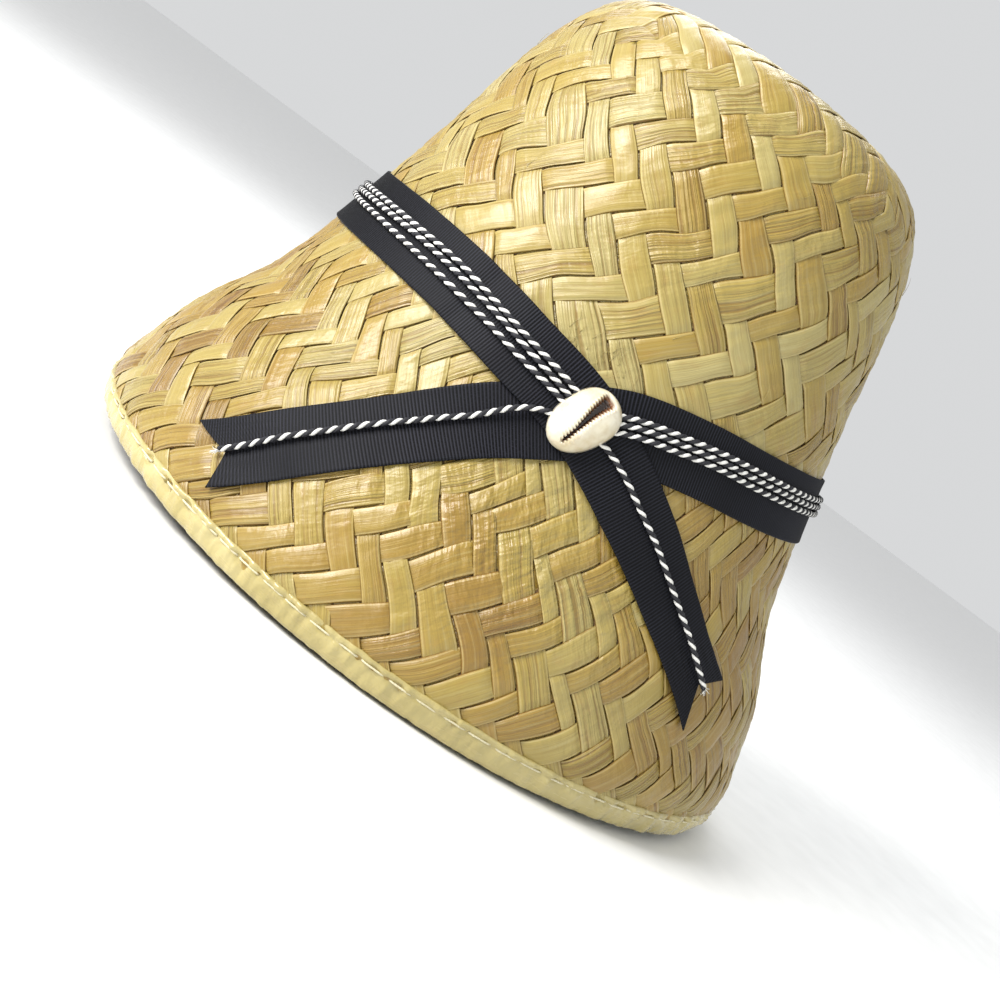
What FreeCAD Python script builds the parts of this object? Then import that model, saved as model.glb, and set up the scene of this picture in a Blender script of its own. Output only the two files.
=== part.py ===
import FreeCAD, Part
import math
import os

# Woven palm-leaf hat: a bell-shaped brim that runs into a tapering crown,
# with a taped edge, a crossed ribbon, twisted cords and a cowrie ornament.
# Frame: millimetres, +Z up along the hat's axis, the brim's edge on z = 0,
# the wearer faces -Y, the ornament is on the wearer's left, at +X.
# Places on the hat are given as an angle round the axis (degrees, 0 at +X,
# 90 at +Y) and a height above the brim's edge.

os.makedirs("parts", exist_ok=True)
V = FreeCAD.Vector

# ---- hat body ----
crown_height = 243.0            # brim edge to the top of the crown
width_ratio = 0.93              # side-to-side over front-to-back size
edge_half_length = 138.5        # half the front-to-back size at the brim's edge
lip_half_length = 141.0         # widest place, just above the edge
lip_height = 13.0
low_half_length = 137.0         # lower brim
low_height = 29.0
brim_half_length = 131.5        # middle of the brim
brim_height = 46.5
root_half_length = 115.5        # where the brim leaves the crown
root_height = 77.0
band_half_length = 105.5        # under the ribbon
band_height = 106.0
wall_half_length = 89.5         # middle of the crown
wall_height = 168.0
shoulder_half_length = 78.0     # top of the crown's wall
shoulder_drop = 32.5            # shoulder below the crown's top
round_half_length = 62.0        # inside the shoulder's bend
round_drop = 10.5
top_half_length = 38.0          # flat part of the crown's top
top_drop = 4.5
weave_thickness = 1.6           # two leaf strips, one over the other

# ---- edge binding and its stitches ----
binding_width = 10.5
binding_tape = 1.05             # tape thickness, with its puffed face
binding_fit = 0.15              # tape to woven edge
edge_setback = 1.4              # bare woven edge above the tape's fold
rest_chamfer = 0.9
stitch_count = 88
stitch_fill = 0.84              # stitch length over stitch spacing
stitch_radius = 0.3
stitch_inset = 2.2              # stitch line below the tape's upper edge
stitch_clearance = 0.1

# ---- ribbon ----
ribbon_width = 25.0
ribbon_thickness = 0.7
ribbon_clearance = 0.3         # woven face to ribbon, and ribbon to ribbon
tail_notch = 8.6                # depth of the swallow tail
front_tail_length = 91.5        # hinge line to the tips
lower_tail_length = 77.5
hinge_gap = 0.3
section_length = 7.0            # spacing of the ribbon's sections

# ---- cords ----
cord_radius = 1.2
cord_clearance = 0.15
cord_hinge_gap = 3.0            # tail cord starts this far past its hinge line

# ---- cowrie ornament ----
shell_angle = 6.1
shell_height = 104.5
shell_tilt = 63.0               # long axis above the ribbon's run
shell_half_length = 12.8
shell_half_width = 9.2
shell_rise = 7.6
shell_wall = 1.5
shell_seat = 0.15
slit_length = 18.0
slit_width = 1.7
notch_clearance = 0.25          # shell rim to cord
glue_radius = 2.6
dot_radius = 3.0
dot_thickness = 0.15
dot_count = 9

# The ribbon's middle line, angle and height. It starts at the tip of the front
# tail, passes under its own other end at the ornament, goes once round the
# crown by the back, and ends at the tip of the lower tail.
ribbon_route = [
    (-48, 1.5), (-40, 14), (-33, 27.5), (-25.8, 46.5), (-17, 67.5), (-7.6, 86),
    (0.8, 97.8), (8.5, 106.3), (15, 111.5), (25, 115.3), (37, 117.8), (79, 121.7),
    (130, 121.5), (180, 120), (230, 118.5), (281, 118), (312, 118.2), (330, 116.9),
    (341, 114.6), (351, 111.5), (360, 108.6), (366.4, 105.3), (373, 99.8),
    (380, 92.7), (390, 80.9), (400.5, 66.1), (409, 52), (417, 38)]
front_hinge_angle = -7.2
lower_hinge_angle = 380.6

# Cord places across the ribbon, by angle: up towards the crown is positive.
# They suit a cord of 1.3 mm radius, and spread or close up with another size.
cord_spread = cord_radius / 1.3
cord_offsets = {
    "band_cord_upper": [(9.4, 3.7), (20, 4.4), (45, 5.6), (180, 4.2), (280, 3.6),
                        (330, 4.4), (350, 3.8), (363.2, 3.1)],
    "band_cord_middle": [(9.4, 0.8), (20, 1.6), (45, 2.7), (180, 1.3), (280, 0.7),
                         (330, 1.5), (350, 0.9), (363.2, 0.2)],
    "band_cord_lower": [(9.4, -2.1), (20, -1.3), (45, -0.2), (180, -1.6), (280, -2.2),
                        (330, -3.4), (350, -3.0), (363.2, -2.7)]}
# Angle at which each band cord starts down from the upper ribbon end.
cord_drop_angle = {"band_cord_upper": 12.5, "band_cord_middle": 14.5, "band_cord_lower": 17.5}
cord_drop_span = 6.5
front_cord_route = [(3.8, 101.6), (-0.6, 99.6), (-4.6, 94.6)]
front_cord_offset = 1.5
lower_cord_route = [(8.9, 102.4), (12.0, 101.5), (16.2, 98.4)]
lower_cord_offset = 1.8


def smooth(points, x):
    """Value at x of the smooth curve through the (x, y) points."""
    n = len(points)
    k = 0
    while k < n - 2 and x > points[k + 1][0]:
        k += 1
    slopes = []
    for i in (k, k + 1):
        a, b = points[max(i - 1, 0)], points[min(i + 1, n - 1)]
        slopes.append((b[1] - a[1]) / (b[0] - a[0]))
    (x0, y0), (x1, y1) = points[k], points[k + 1]
    h = x1 - x0
    t = (x - x0) / h
    return (y0 * (2 * t ** 3 - 3 * t ** 2 + 1) + slopes[0] * h * (t ** 3 - 2 * t ** 2 + t)
            + y1 * (3 * t ** 2 - 2 * t ** 3) + slopes[1] * h * (t ** 3 - t ** 2))


def ramp(x, low, high):
    t = min(max((x - low) / (high - low), 0.0), 1.0)
    return t * t * (3 - 2 * t)


# ---- the wall's outline ----
outline = [(edge_half_length, 0), (lip_half_length, lip_height), (low_half_length, low_height),
           (brim_half_length, brim_height), (root_half_length, root_height), (band_half_length, band_height),
           (wall_half_length, wall_height), (shoulder_half_length, crown_height - shoulder_drop),
           (round_half_length, crown_height - round_drop), (top_half_length, crown_height - top_drop),
           (0, crown_height)]
wall_curve = Part.BSplineCurve()
# carried on past the axis, so that the crown's top is level there, then cut at the axis
beyond = [V(-r, 0, z) for r, z in outline[-3:-1][::-1]]
wall_curve.interpolate(Points=[V(r, 0, z) for r, z in outline] + beyond)
wall_curve.segment(wall_curve.FirstParameter, wall_curve.parameter(V(0, 0, crown_height)))
wall_length = wall_curve.length()


def wall_at(run):
    """Half length, height and unit direction of the wall, run mm up from the edge."""
    u = wall_curve.parameterAtDistance(run, wall_curve.FirstParameter)
    p = wall_curve.value(u)
    t = wall_curve.tangent(u)[0]
    return p.x, p.z, t.x, t.z


wall_table = [(wall_at(wall_length * i / 400)[1], wall_length * i / 400) for i in range(400)]


def run_at(height):
    """Distance up the wall at which it reaches a height."""
    for (z0, s0), (z1, s1) in zip(wall_table, wall_table[1:]):
        if z0 <= height <= z1:
            return s0 + (s1 - s0) * (height - z0) / (z1 - z0)
    return 0.0


def wall_point(run, offset):
    """Point of the round outline, offset outwards from the wall."""
    r, z, dr, dz = wall_at(run)
    return V(r + dz * offset, 0, z - dr * offset)


def place(angle, run, offset=0.0):
    """Point of the oval wall, with the directions round it, up it and out of it."""
    r, z, dr, dz = wall_at(run)
    c, s = math.cos(math.radians(angle)), math.sin(math.radians(angle))
    around = V(-width_ratio * r * s, r * c, 0)
    up = V(width_ratio * dr * c, dr * s, dz)
    out = around.cross(up)
    out.normalize()
    point = V(width_ratio * r * c, r * s, z) + out * offset
    return point, around, up, out


def oval(shape):
    m = FreeCAD.Matrix()
    m.scale(V(width_ratio, 1, 1))
    return shape.transformGeometry(m)


def turned(points_and_curves):
    wire = Part.Wire(points_and_curves)
    return Part.Face(wire).revolve(V(0, 0, 0), V(0, 0, 1), 360)


def through(points):
    curve = Part.BSplineCurve()
    curve.interpolate(Points=points)
    return curve.toShape()


def line(a, b):
    return Part.LineSegment(a, b).toShape()


def woven_body():
    steps = 60
    runs = [edge_setback + (wall_length - edge_setback) * i / steps for i in range(steps)]
    inner = [wall_point(s, -weave_thickness) for s in runs] + [V(0, 0, crown_height - weave_thickness)]
    foot = wall_curve.parameterAtDistance(edge_setback, wall_curve.FirstParameter)
    outer = wall_curve.toShape(foot, wall_curve.LastParameter)
    edges = [outer, line(V(0, 0, crown_height), inner[-1]), through(inner), line(inner[0], wall_point(runs[0], 0))]
    return oval(turned(Part.__sortEdges__(edges)))


def edge_binding():
    near = binding_fit
    far = binding_fit + binding_tape
    inner_near = -weave_thickness - near
    inner_far = -weave_thickness - far
    top = binding_width
    runs = [top * part for part in (0.15, 0.34, 0.53, 0.72)] + [top - 0.5]
    pts = [wall_point(s, far) for s in runs] + [wall_point(top, (near + far) / 2)]
    pts += [wall_point(s, near) for s in [top - 0.3] + runs[3:0:-1] + [edge_setback - near]]
    pts += [wall_point(s, inner_near) for s in [edge_setback - near] + runs[1:4] + [top - 0.3]]
    pts += [wall_point(top, (inner_near + inner_far) / 2)] + [wall_point(s, inner_far) for s in runs[::-1]]
    inside, outside = pts[-1], pts[0]
    pts += [V(inside.x + rest_chamfer, 0, 0), V(outside.x - rest_chamfer, 0, 0)]
    edges = [line(a, b) for a, b in zip(pts, pts[1:] + pts[:1])]
    ring = oval(turned(edges))
    reach = 2 * lip_half_length
    shave = 0.02
    low = Part.makeBox(2 * reach, 2 * reach, 10, V(-reach, -reach, shave - 10))
    ring = ring.cut(low)
    ring.translate(V(0, 0, -shave))
    return ring


def rod(a, b, radius):
    return Part.makeCylinder(radius, (b - a).Length, a, b - a)


def tape_place(angle, offset, push):
    """Point on the stitch line, pushed off the tape's face at that offset from the wall."""
    run = binding_width - stitch_inset
    p = wall_point(run, offset)
    c, s = math.cos(math.radians(angle)), math.sin(math.radians(angle))
    out = place(angle, run)[3]
    return V(width_ratio * p.x * c, p.x * s, p.z) + out * push


def binding_stitches():
    face = binding_fit + binding_tape
    away = stitch_clearance + stitch_radius
    step = 360.0 / stitch_count
    bars = []
    for k in range(stitch_count):
        for offset, push in ((face, away), (-weave_thickness - face, -away)):
            a = tape_place(k * step, offset, push)
            b = tape_place((k + stitch_fill) * step, offset, push)
            bars.append(rod(a, b, stitch_radius))
    return Part.makeCompound(bars)


# ---- ribbon ----
def layer(angle):
    """Height of the ribbon's underside above the woven wall."""
    over = ribbon_thickness + ribbon_clearance
    return ribbon_clearance + over * (ramp(angle, 337, 348) - ramp(angle, 384, 396))


def on_ribbon(angle, across=0.0, lift=0.0):
    """Point across the ribbon's run, lifted above its underside."""
    height = smooth(ribbon_route, angle)
    run = run_at(height)
    ahead = run_at(smooth(ribbon_route, angle + 0.5))
    point, around, up, out = place(angle, run)
    per_degree = around.Length * math.pi / 180
    along = V(0.5 * per_degree, ahead - run, 0)
    along.normalize()
    side_angle = angle - along.y * across / per_degree
    side_run = run + along.x * across
    return place(side_angle, side_run, layer(angle) + lift)[0]


def route_distances():
    """Distance along the ribbon's middle line, by angle, every half degree."""
    angle = ribbon_route[0][0]
    table = [(0.0, angle)]
    here = on_ribbon(angle)
    while angle < ribbon_route[-1][0]:
        angle += 0.5
        there = on_ribbon(angle)
        table.append((table[-1][0] + (there - here).Length, angle))
        here = there
    return table


route_table = route_distances()


def between(table, x):
    """Straight interpolation in a table of rising pairs."""
    for (x0, y0), (x1, y1) in zip(table, table[1:]):
        if x <= x1:
            return y0 + (y1 - y0) * (x - x0) / (x1 - x0)
    return table[-1][1]


def angle_after(start, distance):
    """Angle reached by going a distance along the ribbon; negative goes back."""
    gone = between([(a, d) for d, a in route_table], start)
    return between(route_table, gone + distance)


def ruled(one, other):
    return Part.makeRuledSurface(one.toShape(), other.toShape())


def strip(start, end):
    """Closed solid of the ribbon between two angles."""
    columns = [-0.5, -0.25, 0, 0.25, 0.5]
    angles = [start]
    while angle_after(angles[-1], 1.5 * section_length) < end:
        angles.append(angle_after(angles[-1], section_length))
    angles.append(end)
    marks = [i / (len(angles) - 1) for i in range(len(angles))]
    skins = []
    for lift in (0.0, ribbon_thickness):
        curves = []
        for c in columns:
            curve = Part.BSplineCurve()
            curve.interpolate(Points=[on_ribbon(a, c * ribbon_width, lift) for a in angles], Parameters=marks)
            curves.append(curve)
        skins.append(curves)
    low, high = skins
    faces = [ruled(low[0], high[0]), ruled(low[-1], high[-1])]
    for k in range(len(columns) - 1):
        faces += [ruled(low[k], low[k + 1]), ruled(high[k], high[k + 1])]
        for mark in (0.0, 1.0):
            this_edge = Part.LineSegment(low[k].value(mark), high[k].value(mark))
            next_edge = Part.LineSegment(low[k + 1].value(mark), high[k + 1].value(mark))
            faces.append(ruled(this_edge, next_edge))
    skin = Part.makeCompound(faces)
    skin.sewShape()
    solid = Part.Solid(skin.Shells[0])
    if solid.Volume < 0:
        solid.reverse()
    return solid


def swallow_tail(solid, tip_angle, way):
    """Cuts the V out of a tail that ends at an angle; way is +1 or -1 along the route."""
    notch_angle = angle_after(tip_angle, -way * tail_notch)
    out = place(notch_angle, run_at(smooth(ribbon_route, notch_angle)))[3]
    tip = on_ribbon(tip_angle)
    half = on_ribbon(tip_angle, ribbon_width / 2) - on_ribbon(tip_angle, -ribbon_width / 2)
    notch = on_ribbon(notch_angle)
    past = (tip - notch) * 1.6
    side = half * 0.8
    corners = [notch, notch + past + side, notch + past - side]
    corners = [c - out * 12 for c in corners]
    wedge = Part.Face(Part.makePolygon(corners + corners[:1])).extrude(out * 30)
    return solid.cut(wedge)


# ---- cords ----
def arc_pair(p0, t0, p1, t1):
    """Two arcs that leave p0 along t0, meet smoothly, and reach p1 along t1."""
    v = p1 - p0
    t = t0 + t1
    spread = 2 * (1 - t0.dot(t1))
    if spread < 1e-9:
        return [line(p0, p1)]
    d = (-v.dot(t) + math.sqrt(v.dot(t) ** 2 + spread * v.dot(v))) / spread
    joint = (p0 + p1 + (t0 - t1) * d) * 0.5
    edges = []
    for start, tangent, end in ((p0, t0, joint), (p1, t1 * -1, joint)):
        chord = end - start
        half = chord * 0.5
        side = half - tangent * half.dot(tangent)
        if side.Length < 1e-6:
            edges.append(line(start, end))
            continue
        turn = math.atan2(side.Length, half.dot(tangent))
        middle_dir = tangent * math.cos(turn / 2) + side * (math.sin(turn / 2) / side.Length)
        middle = start + middle_dir * (half.Length / math.cos(turn / 2))
        edges.append(Part.Arc(start, middle, end).toShape())
    return edges


def tube(points, name):
    """Round cord through points, as tangent arcs."""
    tangents = []
    for i in range(len(points)):
        a, b = points[max(i - 1, 0)], points[min(i + 1, len(points) - 1)]
        t = b - a
        t.normalize()
        tangents.append(t)
    edges = []
    for i in range(len(points) - 1):
        edges += arc_pair(points[i], tangents[i], points[i + 1], tangents[i + 1])
    path = Part.Wire(Part.__sortEdges__(edges))
    first = path.OrderedEdges[0]
    start, way = points[0], first.tangentAt(first.FirstParameter)
    ring = Part.Wire(Part.makeCircle(cord_radius, start, way))
    solid = path.makePipeShell([ring], True, True)
    radii = [e.Curve.Radius for e in path.Edges if hasattr(e.Curve, "Radius")]
    print(name, "length", round(path.Length, 1), "volume over section x length",
          round(solid.Volume / (math.pi * cord_radius ** 2 * path.Length), 4),
          "least bend radius", round(min(radii), 1))
    return solid


cord_lift = ribbon_thickness + cord_clearance + cord_radius


def band_cord(name):
    offsets = cord_offsets[name]
    first, last = offsets[0][0], offsets[-1][0]
    drop = cord_drop_angle[name]
    stops = [first, 12.5, 16, 19, 22, 25, 30, 36]
    stops += [45 + 15 * k for k in range(19)]
    stops += [324, 333, 340, 345, 350, 356, last]
    points = []
    for angle in stops:
        # near the ornament the cord climbs onto the ribbon end that lies on top
        climb = (ribbon_thickness + ribbon_clearance) * (1 - ramp(angle, drop, drop + cord_drop_span))
        points.append(on_ribbon(angle, cord_spread * smooth(offsets, angle), cord_lift + climb))
    return tube(points, name)


def wall_place(angle, height, offset):
    return place(angle, run_at(height), offset)[0]


def front_cord_root():
    top = 2 * (ribbon_clearance + ribbon_thickness) + cord_clearance + cord_radius
    low = ribbon_clearance + cord_lift
    lifts = [top, top, (top + low) / 2]
    points = [wall_place(a, h, o) for (a, h), o in zip(front_cord_route, lifts)]
    points.append(on_ribbon(angle_after(front_hinge_angle, hinge_gap / 2), front_cord_offset, cord_lift))
    return tube(points, "front_tail_cord_root")


def lower_cord_root():
    top = 2 * (ribbon_clearance + ribbon_thickness) + cord_clearance + cord_radius
    points = [wall_place(a, h, top) for a, h in lower_cord_route]
    points.append(on_ribbon(angle_after(lower_hinge_angle, -hinge_gap / 2), lower_cord_offset, cord_lift))
    return tube(points, "lower_tail_cord_root")


def tail_cord(name, hinge, way, length, offset):
    reach = length - tail_notch + 1.0
    count = 7
    points = []
    for k in range(count + 1):
        gone = cord_hinge_gap + (reach - cord_hinge_gap) * k / count
        fade = 1 - 0.8 * (k / count) ** 3
        points.append(on_ribbon(angle_after(hinge, way * gone), offset * fade, cord_lift))
    return tube(points, name)


# ---- ornament ----
def shell_frame():
    point, around, up, out = place(shell_angle, run_at(shell_height))
    around.normalize()
    up.normalize()
    tilt = math.radians(shell_tilt)
    long_way = around * math.cos(tilt) + up * math.sin(tilt)
    wide_way = out.cross(long_way)
    seat = 2 * (ribbon_clearance + ribbon_thickness) + shell_seat
    base = point + out * seat
    return FreeCAD.Matrix(long_way.x, wide_way.x, out.x, base.x,
                          long_way.y, wide_way.y, out.y, base.y,
                          long_way.z, wide_way.z, out.z, base.z, 0, 0, 0, 1)


def bowl(half_length, half_width, rise):
    ball = Part.makeSphere(1.0)
    m = FreeCAD.Matrix()
    m.scale(V(half_length, half_width, rise))
    return ball.transformGeometry(m)


def cowrie_shell(cords):
    big = 3 * shell_half_length
    below = Part.makeBox(big, big, big, V(-big / 2, -big / 2, -big))
    solid = bowl(shell_half_length, shell_half_width, shell_rise).cut(below)
    hollow = bowl(shell_half_length - shell_wall, shell_half_width - shell_wall, shell_rise - 2 * shell_wall)
    solid = solid.cut(hollow)
    slit = Part.makeBox(slit_length, slit_width, shell_rise, V(-slit_length / 2, -slit_width / 2, shell_rise / 2))
    solid = solid.cut(slit)
    solid.transformShape(shell_frame(), False, False)
    for points in cords:
        a, b = points
        way = b - a
        way.normalize()
        solid = solid.cut(rod(a - way * 1.0, b + way * 8.0, cord_radius + notch_clearance))
    return max(solid.Solids, key=lambda s: s.Volume)


def cord_mouths():
    """Where each cord passes under the shell's rim: an inner and an outer point."""
    climb = ribbon_thickness + ribbon_clearance
    mouths = []
    for offsets in cord_offsets.values():
        for inner, outer in ((offsets[0][0], offsets[0][0] + 4.0), (offsets[-1][0], offsets[-1][0] - 4.0)):
            lift = cord_lift + (climb if inner < 180 else 0)
            mouths.append([on_ribbon(a, cord_spread * smooth(offsets, a), lift) for a in (inner, outer)])
    top = 2 * (ribbon_clearance + ribbon_thickness) + cord_clearance + cord_radius
    for route in (front_cord_route, lower_cord_route):
        mouths.append([wall_place(a, h, top) for a, h in route[:2]])
    return mouths


def shell_glue():
    pad = Part.makeCylinder(glue_radius, shell_rise - 2 * shell_wall - 1.0)
    pad.transformShape(shell_frame(), False, False)
    return pad


def ribbon_glue_dots():
    dots = []
    for k in range(dot_count):
        angle = 40 + 280.0 * k / (dot_count - 1)
        height = smooth(ribbon_route, angle)
        point, around, up, out = place(angle, run_at(height), (ribbon_clearance - dot_thickness) / 2)
        dots.append(Part.makeCylinder(dot_radius, dot_thickness, point, out))
    return Part.makeCompound(dots)


def hinge(angle, way, name):
    """Hinge line across the ribbon's outer face; turning by it lifts the tail."""
    middle = on_ribbon(angle, 0, ribbon_thickness)
    line_dir = on_ribbon(angle, 2, ribbon_thickness) - on_ribbon(angle, -2, ribbon_thickness)
    line_dir.normalize()
    along = on_ribbon(angle + 0.5 * way, 0, ribbon_thickness) - middle
    out = place(angle, run_at(smooth(ribbon_route, angle)))[3]
    if line_dir.cross(along).dot(out) < 0:
        line_dir = line_dir * -1
    print(name, "pos_mm", [round(c, 4) for c in middle], "axis", [round(c, 6) for c in line_dir])


nodes = {}
nodes["woven_body"] = woven_body()
nodes["edge_binding"] = edge_binding()
nodes["binding_stitches"] = binding_stitches()

half_gap = hinge_gap / 2
nodes["ribbon_band"] = strip(angle_after(front_hinge_angle, half_gap),
                             angle_after(lower_hinge_angle, -half_gap))
front_tip = angle_after(front_hinge_angle, -front_tail_length)
lower_tip = angle_after(lower_hinge_angle, lower_tail_length)
nodes["ribbon_tail_front"] = swallow_tail(
    strip(front_tip, angle_after(front_hinge_angle, -half_gap)), front_tip, -1)
nodes["ribbon_tail_lower"] = swallow_tail(
    strip(angle_after(lower_hinge_angle, half_gap), lower_tip), lower_tip, 1)

for cord_name in cord_offsets:
    nodes[cord_name] = band_cord(cord_name)
nodes["front_tail_cord_root"] = front_cord_root()
nodes["lower_tail_cord_root"] = lower_cord_root()
nodes["front_tail_cord"] = tail_cord("front_tail_cord", front_hinge_angle, -1,
                                     front_tail_length, front_cord_offset)
nodes["lower_tail_cord"] = tail_cord("lower_tail_cord", lower_hinge_angle, 1,
                                     lower_tail_length, lower_cord_offset)

nodes["cowrie_shell"] = cowrie_shell(cord_mouths())
nodes["shell_glue"] = shell_glue()
nodes["ribbon_glue_dots"] = ribbon_glue_dots()

for node, shape in nodes.items():
    shape.exportStep("parts/" + node + ".step")
    box = shape.BoundBox
    print(node, "valid", shape.isValid(), "solids", len(shape.Solids), "volume", round(shape.Volume, 1),
          "x", round(box.XMin, 2), round(box.XMax, 2), "y", round(box.YMin, 2), round(box.YMax, 2),
          "z", round(box.ZMin, 2), round(box.ZMax, 2))
hinge(front_hinge_angle, -1, "front_tail hinge")
hinge(lower_hinge_angle, 1, "lower_tail hinge")
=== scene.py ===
import math
import bpy
import numpy as np
from mathutils import Matrix, Vector


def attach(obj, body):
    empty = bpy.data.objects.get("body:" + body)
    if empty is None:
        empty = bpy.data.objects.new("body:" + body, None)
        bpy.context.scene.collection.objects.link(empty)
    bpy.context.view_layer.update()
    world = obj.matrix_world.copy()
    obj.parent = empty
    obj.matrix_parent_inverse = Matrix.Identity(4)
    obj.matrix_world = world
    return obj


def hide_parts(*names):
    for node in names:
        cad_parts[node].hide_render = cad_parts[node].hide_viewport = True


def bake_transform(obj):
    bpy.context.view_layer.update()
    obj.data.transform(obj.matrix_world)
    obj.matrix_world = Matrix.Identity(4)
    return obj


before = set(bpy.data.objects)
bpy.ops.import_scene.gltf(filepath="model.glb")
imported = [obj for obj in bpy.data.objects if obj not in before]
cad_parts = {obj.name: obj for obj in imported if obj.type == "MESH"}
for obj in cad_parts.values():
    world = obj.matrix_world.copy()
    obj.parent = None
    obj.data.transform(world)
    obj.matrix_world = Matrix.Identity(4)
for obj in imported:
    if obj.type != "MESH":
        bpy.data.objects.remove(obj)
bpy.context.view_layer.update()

# Woven palm-leaf hat. Lengths in the code are millimetres and become metres when a
# mesh is made. Places on the hat are an angle round the axis (degrees, 0 at +X) and
# a run, the distance up the wall from the brim's edge.
mm = 0.001


def throughPoints(points, x):
    # smooth curve through (x, y) points; each slope is that of the two neighbours' chord
    p = np.asarray(points, float)
    px, py = p[:, 0], p[:, 1]
    n = len(px)
    before, after = np.maximum(np.arange(n) - 1, 0), np.minimum(np.arange(n) + 1, n - 1)
    slope = (py[after] - py[before]) / (px[after] - px[before])
    x = np.asarray(x, float)
    k = np.clip(np.searchsorted(px, x) - 1, 0, n - 2)
    h = px[k + 1] - px[k]
    t = (x - px[k]) / h
    return (py[k] * (2 * t**3 - 3 * t**2 + 1) + slope[k] * h * (t**3 - 2 * t**2 + t)
            + py[k + 1] * (3 * t**2 - 2 * t**3) + slope[k + 1] * h * (t**3 - t**2))


def naturalCurve(xs, ys):
    # cubic pieces through the points with one slope and one bend where they meet
    xs, ys = np.asarray(xs, float), np.asarray(ys, float)
    h, n = np.diff(xs), len(xs)
    rows = np.arange(1, n - 1)
    a, b = np.eye(n), np.zeros(n)
    a[rows, rows - 1], a[rows, rows], a[rows, rows + 1] = h[:-1], 2 * (h[:-1] + h[1:]), h[1:]
    b[1:-1] = 6 * (np.diff(ys)[1:] / h[1:] - np.diff(ys)[:-1] / h[:-1])
    bend = np.linalg.solve(a, b)

    def value(x):
        x = np.asarray(x, float)
        k = np.clip(np.searchsorted(xs, x) - 1, 0, n - 2)
        low, high = x - xs[k], xs[k + 1] - x
        return ((bend[k] * high**3 + bend[k + 1] * low**3) / (6 * h[k])
                + (ys[k] / h[k] - bend[k] * h[k] / 6) * high
                + (ys[k + 1] / h[k] - bend[k + 1] * h[k] / 6) * low)
    return value


def ramp(x, low, high):
    # 0 up to low, 1 from high on, and an even S between them
    t = np.clip((np.asarray(x, float) - low) / (high - low), 0, 1)
    return t * t * (3 - 2 * t)


def unit(v):
    # the vectors divided by their lengths
    return v / np.linalg.norm(v, axis=-1, keepdims=True)


def ripple(x, y, seed, waves, shortest, longest):
    # sum of sine waves of random heading, wavelength and phase
    pick = np.random.default_rng(seed)
    total = 0.0
    lengths, headings, phases = (pick.uniform(low, high, waves) for low, high in (
        (shortest, longest), (0, 2 * np.pi), (0, 2 * np.pi)))
    for length, heading, phase in zip(lengths, headings, phases):
        total = total + np.sin(2 * np.pi * (x * np.cos(heading) + y * np.sin(heading)) / length + phase)
    return total / math.sqrt(waves)


hat = {
    # radius and height of the wall, front to back
    "outline": [(138.5, 0), (141, 13), (137, 29), (131.5, 46.5), (115.5, 77), (105.5, 106),
                (89.5, 168), (78, 210.5), (62, 232.5), (38, 238.5), (0, 243)],
    "widthRatio": 0.93, "samples": 8001,
    "edgeRise": 3.9,          # front and back of the brim's edge stand this much higher
    "edgeRiseFade": 50.0,
    "edgeWave": 0.45, "edgeWaves": 3, "edgeWaveTurn": 40,
    "frontRise": 3.4, "frontRiseFade": 24.0,  # and the front higher still, close to the edge
}
# two points mirrored past the top keep the curve level there
mirrored = [(-r, z) for r, z in hat["outline"][-2:-4:-1]]
outlineR, outlineZ = np.array(hat["outline"] + mirrored, float).T
chord = np.concatenate([[0], np.cumsum(np.hypot(np.diff(outlineR), np.diff(outlineZ)))])
mark = np.linspace(0, chord[-3], hat["samples"])
wallR, wallZ = naturalCurve(chord, outlineR)(mark), naturalCurve(chord, outlineZ)(mark)
wallR[-1] = 0.0
wallRun = np.concatenate([[0], np.cumsum(np.hypot(np.diff(wallR), np.diff(wallZ)))])
slopeR, slopeZ = np.gradient(wallR, wallRun), np.gradient(wallZ, wallRun)
wallLength = wallRun[-1]
print("wall length", round(wallLength, 1), "mm")


def runAt(height):
    # the run at a height on the wall
    return np.interp(height, wallZ, wallRun)


def wall(angle, run, lift=0.0):
    # the outline at that run, turned by the angle, narrowed sideways, and pushed out along
    # the normal; also the unit directions round, up and out
    angle, run, lift = np.broadcast_arrays(*(np.asarray(v, float) for v in (angle, run, lift)))
    c, s = np.cos(np.radians(angle)), np.sin(np.radians(angle))
    below = np.minimum(run, 0)
    dr, dz = np.interp(run, wallRun, slopeR), np.interp(run, wallRun, slopeZ)
    r, z = np.interp(run, wallRun, wallR) + below * dr, np.interp(run, wallRun, wallZ) + below * dz
    k = hat["widthRatio"]
    out = unit(np.stack([c * dz, k * s * dz, -k * dr], -1))
    fade = np.exp(-np.maximum(z, 0) / hat["edgeRiseFade"])
    wave = np.sin(np.radians(hat["edgeWaves"] * angle + hat["edgeWaveTurn"]))
    wave = hat["edgeWave"] * (1 + wave) * s * s
    rise = (hat["edgeRise"] * s * s + wave) * fade
    frontFade = np.exp(-np.maximum(z, 0) / hat["frontRiseFade"])
    rise = rise + hat["frontRise"] * (0.5 - 0.5 * s) ** 2 * frontFade
    point = np.stack([k * r * c, r * s, z + rise], -1) + out * lift[..., None]
    up = unit(np.stack([k * dr * c, dr * s, dz], -1))
    return point, np.cross(up, out), up, out


def ringFaces(strips, rows, ring):
    # quads of closed tubes: every row's ring of points joined to the next row's
    s, r, c = np.meshgrid(np.arange(strips), np.arange(rows - 1), np.arange(ring), indexing="ij")
    base, turn = s * rows * ring, (c + 1) % ring
    return np.stack([base + r * ring + c, base + r * ring + turn,
                     base + (r + 1) * ring + turn, base + (r + 1) * ring + c], -1).reshape(-1, 4)


def endFaces(strips, rows, ring):
    # one face over each end of each tube
    s = np.arange(strips)[:, None] * rows * ring
    c = np.arange(ring)[None, :]
    return np.concatenate([s + c[:, ::-1], s + (rows - 1) * ring + c])


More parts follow.
